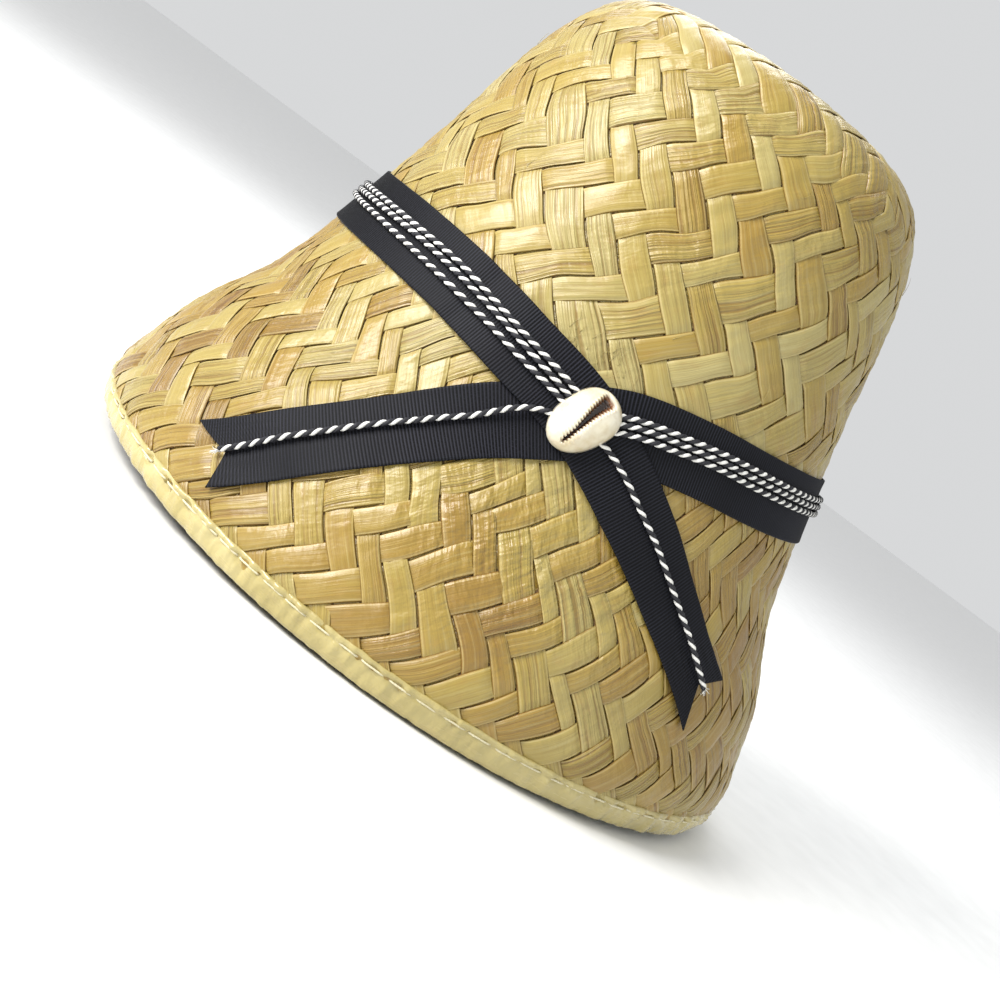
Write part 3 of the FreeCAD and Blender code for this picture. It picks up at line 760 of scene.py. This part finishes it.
def tubes(centre, radial, radius, ring):
    # round tubes along many paths at once; radial is any direction across each path
    tangent = unit(np.gradient(centre, axis=1))
    side = unit(np.cross(tangent, radial))
    out = np.cross(side, tangent)
    psi = np.arange(ring) * 2 * np.pi / ring
    r = np.broadcast_to(radius, centre.shape[:2])[:, :, None, None]
    points = centre[:, :, None] + r * (np.cos(psi)[None, None, :, None] * out[:, :, None]
                                       + np.sin(psi)[None, None, :, None] * side[:, :, None])
    count, rows = centre.shape[:2]
    step = np.linalg.norm(np.diff(centre, axis=1), axis=2)
    along = np.concatenate([np.zeros((count, 1)), np.cumsum(step, axis=1)], 1)
    along = along + np.arange(count)[:, None] * 37.0      # so that neighbours differ in pattern
    uv = np.stack(np.broadcast_arrays(along[:, :, None], (psi / (2 * np.pi) * 4)[None, None, :]), -1)
    return points, ringFaces(count, rows, ring), endFaces(count, rows, ring), uv


def stitchPiece():
    # each stitch rises out of the tape, runs along it and dives again
    count = stitch["count"]
    own = np.random.default_rng(61)
    k = np.arange(count)[:, None] + own.uniform(-0.05, 0.05, count)[:, None]
    u = np.linspace(0, 1, stitch["rows"])[None, :]
    turns = (k + stitch["fill"] * u) * 360.0 / count
    arch = np.clip(1 - np.abs(2 * u - 1) ** 5, 0, 1)
    wander = own.uniform(-stitch["wander"], stitch["wander"], count)[:, None]
    run = stitch["run"] + wander + stitch["bow"] * np.sin(np.pi * u)
    parts = []
    for level, way in ((stitch["outside"], 1), (stitch["inside"], -1)):
        centre, _, _, out = wall(turns, run, level + way * (stitch["rise"] * arch - stitch["sunk"]))
        parts.append((*tubes(centre, out, stitch["radius"], stitch["ring"]), {}))
    thread = threadMaterial("stitchThread", (0.52, 0.46, 0.28), (0.74, 0.69, 0.50))
    return makePiece("edgeStitches", parts, thread)


for piece, node, finish in ((tapePiece(), "edge_binding", "binding_tape"),
                            (stitchPiece(), "binding_stitches", "binding_thread")):
    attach(piece, "hat")
    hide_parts(node)


def grosgrainMaterial():
    # close ribs across the width, with painted highlights on their tops and painted shade between them,
    # and a fine thread along each
    recipe = Recipe("blackGrosgrain")
    uv = recipe.add("ShaderNodeUVMap", uv_map="UVMap")
    split = recipe.add("ShaderNodeSeparateXYZ", {"Vector": uv.outputs[0]})
    perMetre = 2 * math.pi / (ribbonCloth["ribPitch"] * mm)
    rib = recipe.maths("SINE", recipe.maths("MULTIPLY", split.outputs[0], perMetre), 0.0)
    top = recipe.band(rib, -0.2, 1.0)
    thread = recipe.noise(recipe.uvScaled(900, 5200), 1, 2)
    worn = recipe.noise(recipe.objectCoordinates(), 45, 3)
    # painted highlight on each rib's top and painted shade in the gaps between ribs
    base = recipe.mix(top, (0.0005, 0.0005, 0.0008), (0.019, 0.020, 0.029))
    base = recipe.mix(recipe.band(thread, 0.50, 0.78, 0, 0.5), base, (0.034, 0.036, 0.046))
    base = recipe.mix(recipe.band(worn, 0.35, 0.65, 0.45, 0.0), base, (0.006, 0.006, 0.008))
    recipe.give("Base Color", base)
    recipe.give("Roughness", recipe.band(thread, 0.3, 0.7, 0.48, 0.66))
    recipe.setUp(Specular_IOR_Level=0.12)
    recipe.give("Normal", recipe.bump(thread, 0.00008, 0.6))
    return recipe.material


ribbonCloth = {
    "ribPitch": 1.1, "ribDepth": 0.09, "rowsPerRib": 3,
    "selvedge": 0.06, "selvedgeFrom": 0.45, "thinFrom": 0.495, "thin": 0.30,
    "columns": [-0.5, -0.488, -0.46, -0.36, -0.2, 0, 0.2, 0.36, 0.46, 0.488, 0.5],
    "wave": 0.16, "notchReach": 30, "flare": 0.9, "flareReach": 26,
    # where it folds over its own edge: angle, spread and depth of a dip and of a rise
    "dip": (337.5, 1.6, -0.22), "rise": (333.5, 2.2, 0.5), "deepest": -0.2,
}


def ribbonPiece(name, fromAngle, toDistance, notch, slant, seed):
    # a grid of distance along the run and place across it; a notched end's rows slant to the V
    cloth = ribbonCloth
    start = float(distanceAt(fromAngle))
    length, way = abs(toDistance - start), np.sign(toDistance - start)
    rows = int(length / cloth["ribPitch"] * cloth["rowsPerRib"]) + 1
    across = np.array(cloth["columns"])
    outer = np.abs(2 * across)[None, :]       # 0 in the middle, 1 at the edges
    gone = np.linspace(0, length, rows)[:, None] + 0 * across[None, :]
    if notch:
        near = np.clip((gone - (length - cloth["notchReach"])) / cloth["notchReach"], 0, 1)
        gone = gone - near * (notch * (1 - outer) - 2 * slant * across[None, :])
    angle = angleAt(start + way * gone)
    sideAngle, run, lift = ribbonPlace(angle, across[None, :] * ribbon["width"])
    rib = cloth["ribDepth"] * np.cos(2 * np.pi * gone / cloth["ribPitch"])
    wave = cloth["wave"] * ripple(gone, across[None, :] * 25, seed, 8, 18, 60) * (0.3 + outer ** 3)
    wave = np.abs(wave) * np.where(np.abs(across) > 0.1, 1, 0.5)[None, :]
    (dipAt, dipSpread, dip), (riseAt, riseSpread, rise) = cloth["dip"], cloth["rise"]
    dent = dip * np.exp(-((angle - dipAt) / dipSpread) ** 2)
    dent = dent + rise * np.exp(-((angle - riseAt) / riseSpread) ** 2) * outer ** 2
    edge = np.where(np.abs(across) > cloth["selvedgeFrom"], cloth["selvedge"], 0.0)[None, :]
    if notch:
        wave = wave + cloth["flare"] * ramp(gone, length - cloth["flareReach"], length) * outer ** 1.5
    middle = lift + wave + np.maximum(dent, cloth["deepest"])
    thin = np.where(np.abs(across) > cloth["thinFrom"], cloth["thin"], 1.0)[None, :]
    half = ribbon["thickness"] / 2 - 0.06
    topSide = wall(sideAngle, run, middle + half + thin * (half + rib) + edge)[0]
    lowSide = wall(sideAngle, run, middle + half - thin * half)[0]
    points = np.concatenate([topSide, lowSide[:, ::-1]], 1)
    ring = points.shape[1]
    v = np.concatenate([across, across[::-1]]) * ribbon["width"]
    u = np.concatenate([start + way * gone, (start + way * gone)[:, ::-1]], 1)
    uv = np.stack(np.broadcast_arrays(u, v[None, :]), -1)
    # each end is closed by quads from the upper face to the lower one
    k = np.arange(len(across) - 1)
    ends = np.concatenate([np.stack([b + k, b + ring - 1 - k, b + ring - 2 - k, b + k + 1][::o], -1)
                           for b, o in ((0, -1), ((rows - 1) * ring, 1))])
    piece = makePiece(name, [(points, ringFaces(1, rows, ring), ends, uv, {})], grosgrain)
    return piece, length


grosgrain = grosgrainMaterial()
frontHinge, lowerHinge = (float(distanceAt(ribbon[side + "Hinge"])) for side in ("front", "lower"))


def hingePoints(distance, way, spread=2.5):
    # two points in metres, a little before and after a hinge line, along the ribbon
    return [tuple(wall(*ribbonPlace(angleAt(distance + way * d), 0.0))[0] * mm)
            for d in (-spread, spread)]


bandEnd = float(distanceAt(ribbon["seamLower"]))
band, bandLength = ribbonPiece("ribbonBand", ribbon["seamFront"], bandEnd, 0, 0, 71)
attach(band, "hat")
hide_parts("ribbon_band")
for name, side, hinge, way, node in (("ribbonFrontTail", "front", frontHinge, -1, "ribbon_tail_front"),
                                     ("ribbonLowerTail", "lower", lowerHinge, 1, "ribbon_tail_lower")):
    tail, tailLength = ribbonPiece(name, ribbon["seam" + side.title()],
                                   hinge + way * ribbon[side + "Tail"],
                                   ribbon["notch"], ribbon[side + "Slant"], 72 + way)
    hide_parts(node)
    start, end = hingePoints(hinge, way)
    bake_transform(tail)
    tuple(start)
    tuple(end)
print("ribbon length", round(routeDistance[-1], 1), "mm")


def cordMaterial():
    # one strand white and one black, each with fine fibres along it
    recipe = Recipe("twoPlyCord")
    pale = recipe.valueOf("pale")
    fibre = recipe.noise(recipe.uvScaled(700, 5000), 1, 2)
    white = recipe.colours(fibre, [(0.3, (0.62, 0.61, 0.58)), (0.6, (0.90, 0.89, 0.86))])
    black = recipe.colours(fibre, [(0.35, (0.006, 0.006, 0.008)), (0.75, (0.045, 0.045, 0.055))])
    recipe.give("Base Color", recipe.mix(pale, black, white))
    recipe.setUp(Roughness=0.62, Specular_IOR_Level=0.3)
    recipe.give("Normal", recipe.bump(fibre, 0.00012, 0.7))
    return recipe.material


cord = {
    "radius": 1.2, "strand": 0.70, "coil": 0.45, "pitch": 5.0, "clearance": 0.15,
    "steps": 11, "ring": 8,   # of a strand, per turn and round it
    "paleThick": 0.84, "blackThick": 1.04, "blackCoil": 0.96, "uneven": 0.04,
    "spread": 1.2 / 1.3, "wander": 0.12,
    # angle, and how far up the ribbon from its middle line
    "offsets": {
        "band_cord_upper": [(9.4, 3.7), (20, 4.4), (45, 5.6), (180, 4.2), (280, 3.6), (330, 4.4),
                            (350, 3.8), (363.2, 3.1)],
        "band_cord_middle": [(9.4, 0.8), (20, 1.6), (45, 2.7), (180, 1.3), (280, 0.7), (330, 1.5),
                             (350, 0.9), (363.2, 0.2)],
        "band_cord_lower": [(9.4, -2.1), (20, -1.3), (45, -0.2), (180, -1.6), (280, -2.2), (330, -3.4),
                            (350, -3.0), (363.2, -2.7)]},
    # where each comes down off the crossing
    "drop": {"band_cord_upper": 12.5, "band_cord_middle": 14.5, "band_cord_lower": 17.5},
    "dropSpan": 6.5,
    # angle and height of the loose ends' cords under the ornament
    "frontRoute": [(3.8, 101.6), (-0.6, 99.6), (-4.6, 94.6)], "frontOffset": 1.5,
    "lowerRoute": [(368.9, 102.4), (372.0, 101.5), (376.2, 98.4)], "lowerOffset": 1.8,
    "pastNotch": 1.6, "joinsAt": 2.0, "tipRise": 0.25, "sway": 0.15,
}
cordLift = ribbon["thickness"] + cord["clearance"] + cord["radius"]
twoPly = cordMaterial()


def twisted(angle, run, lift, seed):
    # two strands wound round the path, half a turn apart, one pale and one black
    centre, _, _, out = wall(angle, run, lift)
    gone = np.concatenate([[0], np.cumsum(np.linalg.norm(np.diff(centre, axis=0), axis=1))])
    at = np.linspace(0, gone[-1], int(gone[-1] / cord["pitch"] * cord["steps"]) + 2)
    centre = np.stack([np.interp(at, gone, centre[:, k]) for k in range(3)], -1)
    out = unit(np.stack([np.interp(at, gone, out[:, k]) for k in range(3)], -1))
    tangent = unit(np.gradient(centre, axis=0))
    side = unit(np.cross(tangent, out))
    out = np.cross(side, tangent)
    phase = 2 * np.pi * at / cord["pitch"] + 0.5 * ripple(at, 0 * at, seed, 6, 14, 50)
    swell = 1 + cord["uneven"] * ripple(at, 0 * at, seed + 5, 5, 3, 9)
    parts = []
    for pale, turn, thick, coil in ((1.0, 0.0, cord["paleThick"], 1.0),
                                    (0.0, np.pi, cord["blackThick"], cord["blackCoil"])):
        radial = np.cos(phase + turn)[:, None] * out - np.sin(phase + turn)[:, None] * side
        strand = centre + cord["coil"] * coil * radial
        radius = cord["strand"] * thick * swell
        parts.append((*tubes(strand[None], radial[None], radius[None], cord["ring"]), {"pale": pale}))
    return parts, gone[-1]


fray = {"threads": 16, "rows": 6, "ring": 4, "radius": 0.10, "long": (1.8, 4.4), "fan": 0.42,
        "fall": (-0.5, 0.1), "bend": 0.35, "curl": 1.5, "inside": 1.0, "loose": (0.45, 0.35),
        "pale": 0.75}


def frayedEnd(angle, run, lift, aheadAngle, aheadRun, seed):
    # loose threads fanning out of a cut end, each bent a little by the square of its length
    own = np.random.default_rng(seed)
    count = fray["threads"]
    start, _, _, out = wall(angle, run, lift)
    ahead = unit(wall(aheadAngle, aheadRun, lift)[0] - start)
    side = np.cross(out, ahead)
    u = np.linspace(0, 1, fray["rows"])[None, :, None]
    reach = own.uniform(*fray["long"], count)[:, None, None]
    fan = own.normal(0, fray["fan"], count)[:, None, None]
    fall = own.uniform(*fray["fall"], count)[:, None, None]
    bend = own.normal(0, fray["bend"], count)[:, None, None]
    sideways, outwards = (own.normal(0, spread, count)[:, None, None] for spread in fray["loose"])
    first = start + sideways * side - fray["inside"] * ahead + outwards * out
    path = first + u * reach * (ahead + fan * side * u)
    path = path + (fall * u ** 2) * reach * out + bend * u ** 2 * side * fray["curl"]
    shape = tubes(path, out + 0 * path, fray["radius"], fray["ring"])
    pale = (own.uniform(0, 1, count) < fray["pale"]).astype(float)
    return (*shape, {"pale": np.repeat(pale, fray["rows"] * fray["ring"])})


for number, (name, offsets) in enumerate(cord["offsets"].items()):
    gone = np.arange(float(distanceAt(offsets[0][0])), float(distanceAt(offsets[-1][0])), 0.5)
    angle = angleAt(gone)
    wander = cord["wander"] * ripple(gone, 0 * gone, 81 + number, 6, 25, 90)
    sideAngle, run, lift = ribbonPlace(angle, cord["spread"] * throughPoints(offsets, angle) + wander)
    drop = cord["drop"][name]
    climb = ribbon["thickness"] + ribbon["clearance"]
    climb = climb * (1 - ramp(angle, drop, drop + cord["dropSpan"]))
    parts, length = twisted(sideAngle, run, lift + cordLift + climb, 84 + number)
    piece = makePiece("bandCord" + name.split("_")[2].title(), parts, twoPly, ("pale",))
    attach(piece, "hat")
    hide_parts(name)
    print(name, "length", round(length, 1), "mm")


def tailCord(name, side, hinge, way, seed):
    # from under the ornament by the route's places, then along the tail to just past its notch
    body, offset = side + "_tail", cord[side + "Offset"]
    top = 2 * (ribbon["clearance"] + ribbon["thickness"])
    top = top + cord["clearance"] + cord["radius"] + ribbon["raised"]
    places = [(angle, float(runAt(height)), top) for angle, height in cord[side + "Route"]]
    reach = ribbon[side + "Tail"] - ribbon["notch"] + cord["pastNotch"]
    for part in np.arange(9) / 8:
        gone = cord["joinsAt"] + (reach - cord["joinsAt"]) * part
        sideAngle, run, lift = ribbonPlace(angleAt(hinge + way * gone), offset * (1 - 0.8 * part ** 3))
        places.append((float(sideAngle), float(run), float(lift) + cordLift + cord["tipRise"] * part))
    places = np.array(places)
    points = wall(*places.T)[0]
    at = np.concatenate([[0], np.cumsum(np.linalg.norm(np.diff(points, axis=0), axis=1))])
    fine = np.linspace(0, at[-1], 400)
    angle, run, lift = (naturalCurve(at, column)(fine) for column in places.T)
    run = run + cord["sway"] * ripple(fine, 0 * fine, seed, 5, 18, 40) * ramp(fine, 5, 20)
    parts, length = twisted(angle, run, lift, seed)
    parts.append(frayedEnd(angle[-1], run[-1], lift[-1] - 0.3,
                           2 * angle[-1] - angle[-6], 2 * run[-1] - run[-6], seed + 3))
    piece = makePiece(name, parts, twoPly, ("pale",))
    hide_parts(body + "_cord_root", body + "_cord")
    start, end = hingePoints(hinge, way)
    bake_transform(piece)
    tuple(start)
    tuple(end)
    print(name, "length", round(length, 1), "mm")


tailCord("frontTailCord", "front", frontHinge, -1, 91)
tailCord("lowerTailCord", "lower", lowerHinge, 1, 92)


def shellMaterial():
    # mottled cream enamel with faint stains; down in the slit, the lips' own brown and painted shade,
    # black at the bottom
    recipe = Recipe("cowrieEnamel")
    depth = recipe.valueOf("depth")
    cloud = recipe.noise(recipe.objectCoordinates(), 160, 3)
    base = recipe.colours(cloud, [(0.3, (0.60, 0.50, 0.32)), (0.5, (0.72, 0.65, 0.49)),
                                  (0.7, (0.80, 0.75, 0.62))])
    stain = recipe.noise(recipe.objectCoordinates(), 420, 2)
    base = recipe.mix(recipe.band(stain, 0.60, 0.74, 0, 0.35), base, (0.55, 0.40, 0.22))
    # darker the deeper into the slit: brown partly the shell's own colour and partly painted shade,
    # black painted shade at the bottom
    base = recipe.mix(recipe.band(depth, 0.12, 0.60), base, (0.20, 0.085, 0.035))
    base = recipe.mix(recipe.band(depth, 0.70, 1.0), base, (0.030, 0.014, 0.008))
    recipe.give("Base Color", base)
    recipe.give("Roughness", recipe.band(cloud, 0.3, 0.7, 0.14, 0.26))
    recipe.setUp(Specular_IOR_Level=0.55, Coat_Weight=0.5, Coat_Roughness=0.08, Subsurface_Weight=0.08)
    recipe.shader.inputs["Subsurface Radius"].default_value = (0.003, 0.002, 0.001)
    recipe.give("Normal", recipe.bump(stain, 0.00006, 0.4))
    return recipe.material


shell = {
    "angle": 6.1, "height": 104.5, "tilt": 63.0, "seat": 2.9,
    "halfLength": 12.8, "halfWidth": 9.2, "rise": 7.3, "rows": 150, "columns": 61, "lowColumns": 9,
    "egg": 0.09, "lean": 0.06,
    "slitDepth": 3.0, "slitWidth": 0.76, "slitFlare": 1.6,
    "slitEnds": (-0.86, -0.62, 0.66, 0.90),   # where it starts, is full, begins to end, and ends
    "lip": 0.42, "lipAt": 2.3, "lipSpread": 1.3,
    "toothPitch": 1.15, "toothHeight": 0.30, "toothAt": 1.35, "toothSpread": 0.95, "toothBite": 0.40,
}


def shellPiece():
    # an egg-shaped dome with rolled lips; a slit sinks along it, and teeth ripple both lips
    x = np.sin(np.linspace(-1, 1, shell["rows"]) * np.pi / 2 * 0.985)[:, None]
    width = shell["halfWidth"] * (1 - np.abs(x) ** 2.5) ** 0.5 * (1 + shell["egg"] * x)
    rise = shell["rise"] * (1 - np.abs(x) ** 2.4) ** 0.5 * (1 + shell["lean"] * x)
    t = np.linspace(-1, 1, shell["columns"])
    y = (np.sign(t) * np.abs(t) ** 1.45)[None, :] * width
    dome = rise * (1 - np.abs(y / np.maximum(width, 1e-6)) ** 2.1) ** 0.52
    slitLine = 0.75 * np.sin(2.6 * x + 0.4) - 0.2 + 1.5 * x
    away = np.abs(y - slitLine)
    starts, full, begins, ends = shell["slitEnds"]
    window = ramp(x, starts, full) * (1 - ramp(x, begins, ends))
    tooth = 2 * np.pi * x * shell["halfLength"] / shell["toothPitch"]
    tooth = np.cos(tooth + 0.8 * np.sign(y - slitLine))
    bite = shell["toothBite"] * np.clip(-tooth, -0.4, 1)
    slitHalf = shell["slitWidth"] * (1 + shell["slitFlare"] * np.clip(x + 0.1, -0.28, 1) + bite)
    slit = (1 - ramp(away, slitHalf * 0.55, slitHalf * 1.9)) * window
    lips = shell["lip"] * np.exp(-((away - shell["lipAt"]) / shell["lipSpread"]) ** 2) * window
    nearLip = np.exp(-((away - shell["toothAt"]) / shell["toothSpread"]) ** 2)
    teeth = shell["toothHeight"] * tooth * nearLip * window
    high = np.maximum(dome + lips + teeth - shell["slitDepth"] * slit, 0)
    # the flat underside, a little below the rim
    low = np.linspace(1, -1, shell["lowColumns"])[None, 1:-1] * width
    points = np.concatenate([np.stack([x + 0 * y, y, high], -1),
                             np.stack([x + 0 * low, low, 0 * low - 0.2], -1)], 1)
    points[..., 0] *= shell["halfLength"]
    base, around, up, out = wall(shell["angle"], runAt(shell["height"]), shell["seat"])
    tilt = math.radians(shell["tilt"])
    long = around * math.cos(tilt) + up * math.sin(tilt)
    wide = np.cross(out, long)
    placed = base + points[..., :1] * long + points[..., 1:2] * wide + points[..., 2:] * out
    ring = placed.shape[1]
    # how deep in the slit each point lies; the material paints shade from it
    depth = np.concatenate([slit + 0 * y, 0 * low + 0 * x], 1)
    part = (placed, ringFaces(1, shell["rows"], ring), endFaces(1, shell["rows"], ring),
            points[..., :2], {"depth": depth})
    return makePiece("cowrie", [part], shellMaterial(), ("depth",))


cowrie = shellPiece()
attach(cowrie, "hat")
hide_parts("cowrie_shell")


glue = speckled("clearGlue", 500, 2, [(0.3, (0.50, 0.42, 0.26)), (0.7, (0.66, 0.58, 0.40))],
                0.0001, 0.4, Roughness=0.3, Transmission_Weight=0.3)
for node in ("shell_glue", "ribbon_glue_dots"):
    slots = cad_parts[node].data.materials
    if len(slots):
        slots[0] = glue
    else:
        slots.append(glue)


loose = {
    "count": 70, "nearOrnament": 26, "nearAt": (2, 4.5), "nearHeight": (124.5, 2.5),
    # the others keep clear of the ribbon: high on the crown, or on the brim away from its ends
    "crownShare": 0.6, "crownHeights": (138, 210), "brimHeights": (20, 84), "brimAngles": (48, 300),
    "long": (3, 9), "rows": 7, "ring": 4, "radius": 0.10, "taper": 0.75, "stands": (0.1, 1.1),
    "lift": 0.35, "curl": 1.2,
}


def fibrePiece():
    # thin splinters that stand off the plait, most of them just above the ornament
    own = np.random.default_rng(101)
    count, rows, ring = loose["count"], loose["rows"], loose["ring"]
    near = np.arange(count) < loose["nearOrnament"]
    high = own.uniform(0, 1, count) < loose["crownShare"]
    elsewhere = np.where(high, own.uniform(0, 360, count), own.uniform(*loose["brimAngles"], count))
    angle = np.where(near, own.normal(*loose["nearAt"], count), elsewhere)[:, None]
    spare = np.where(high, own.uniform(*loose["crownHeights"], count),
                     own.uniform(*loose["brimHeights"], count))
    height = np.where(near, own.normal(*loose["nearHeight"], count), spare)[:, None]
    heading = np.where(near, own.normal(1.5, 0.5, count), own.uniform(0.5, 2.6, count))[:, None]
    u = np.linspace(0, 1, rows)[None, :]
    reach = own.uniform(*loose["long"], count)[:, None]
    run = runAt(height) + reach * u * np.sin(heading)
    turn = angle + np.degrees(reach * u * np.cos(heading) / uneven["perRadian"])
    turn = turn + own.normal(0, loose["curl"], count)[:, None] * u ** 2
    lift = loose["lift"] + own.uniform(*loose["stands"], count)[:, None] * np.sin(np.pi * 0.6 * u)
    centre, _, _, out = wall(turn, run, lift)
    shape = tubes(centre, out, loose["radius"] * (1 - loose["taper"] * u) + 0 * lift, ring)
    zero = np.zeros(count * rows * ring)
    tint = own.uniform(0.0, 0.45, count).repeat(rows * ring)
    values = {"tint": tint, "ridge": zero, "edge": zero, "crumple": zero}
    return makePiece("looseFibres", [(*shape, values)], outerStraw, traits)


fibres = fibrePiece()
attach(fibres, "hat")


stage = {"half": 6.0, "under": -0.0005, "world": (0.95, 0.96, 0.97), "worldStrength": 0.72}
mesh = bpy.data.meshes.new("floor")
mesh.from_pydata([(x * stage["half"], y * stage["half"], stage["under"])
                  for x, y in ((-1, -1), (1, -1), (1, 1), (-1, 1))], [], [(0, 1, 2, 3)])
floor = bpy.data.objects.new("floor", mesh)
bpy.context.scene.collection.objects.link(floor)
floorStops = [(0.3, (0.86, 0.86, 0.855)), (0.7, (0.90, 0.90, 0.895))]
floor.data.materials.append(speckled("paleFloor", 60, 2, floorStops, 0.0, 0.0, Roughness=0.9))

world = bpy.data.worlds.new("room")
bpy.context.scene.world = world
world.use_nodes = True
world.node_tree.nodes["Background"].inputs["Color"].default_value = (*stage["world"], 1)
world.node_tree.nodes["Background"].inputs["Strength"].default_value = stage["worldStrength"]

lights = {
    "key": {"at": (0.62, -0.95, 0.75), "aim": (0.03, 0, 0.12), "size": 0.7, "power": 27,
            "colour": (1.0, 0.99, 0.97)},
    "fill": {"at": (0.8, 0.9, 0.35), "aim": (0, 0, 0.1), "size": 0.8, "power": 2.2,
             "colour": (0.94, 1.0, 0.86)},
    "back": {"at": (-0.7, -0.3, 1.0), "aim": (0, 0, 0.18), "size": 0.7, "power": 7,
             "colour": (0.97, 0.99, 1.0)},
}
for name, setting in lights.items():
    lamp = bpy.data.lights.new(name, "AREA")
    lamp.size, lamp.energy, lamp.color = setting["size"], setting["power"], setting["colour"]
    lampObject = bpy.data.objects.new(name, lamp)
    bpy.context.scene.collection.objects.link(lampObject)
    lampObject.location = setting["at"]
    lampObject.rotation_mode = "QUATERNION"
    towards = Vector(setting["aim"]) - Vector(setting["at"])
    lampObject.rotation_quaternion = towards.to_track_quat("-Z", "Y")

# yaw, pitch and roll in degrees, from looking along -X with +Z up
camera = {"at": (0.5904, 0.0, 0.1399), "yaw": -0.60, "pitch": -8.21, "roll": 36.49,
          "lens": 55.84, "sensor": 36.0}
yaw, pitch, roll = (math.radians(camera[k]) for k in ("yaw", "pitch", "roll"))
ahead = Vector((-math.cos(yaw) * math.cos(pitch), -math.sin(yaw) * math.cos(pitch), math.sin(pitch)))
levelRight = ahead.cross(Vector((0, 0, 1))).normalized()
levelUp = levelRight.cross(ahead)
right = math.cos(roll) * levelRight + math.sin(roll) * levelUp
upward = -math.sin(roll) * levelRight + math.cos(roll) * levelUp
lens = bpy.data.cameras.new("camera")
lens.lens, lens.sensor_width = camera["lens"], camera["sensor"]
lens.clip_start, lens.clip_end = 0.01, 50
cameraObject = bpy.data.objects.new("camera", lens)
bpy.context.scene.collection.objects.link(cameraObject)
cameraObject.matrix_world = Matrix((
    (right.x, upward.x, -ahead.x, camera["at"][0]), (right.y, upward.y, -ahead.y, camera["at"][1]),
    (right.z, upward.z, -ahead.z, camera["at"][2]), (0, 0, 0, 1)))
bpy.context.scene.camera = cameraObject
bpy.context.scene.view_settings.view_transform = "Standard"
print("stage ready")
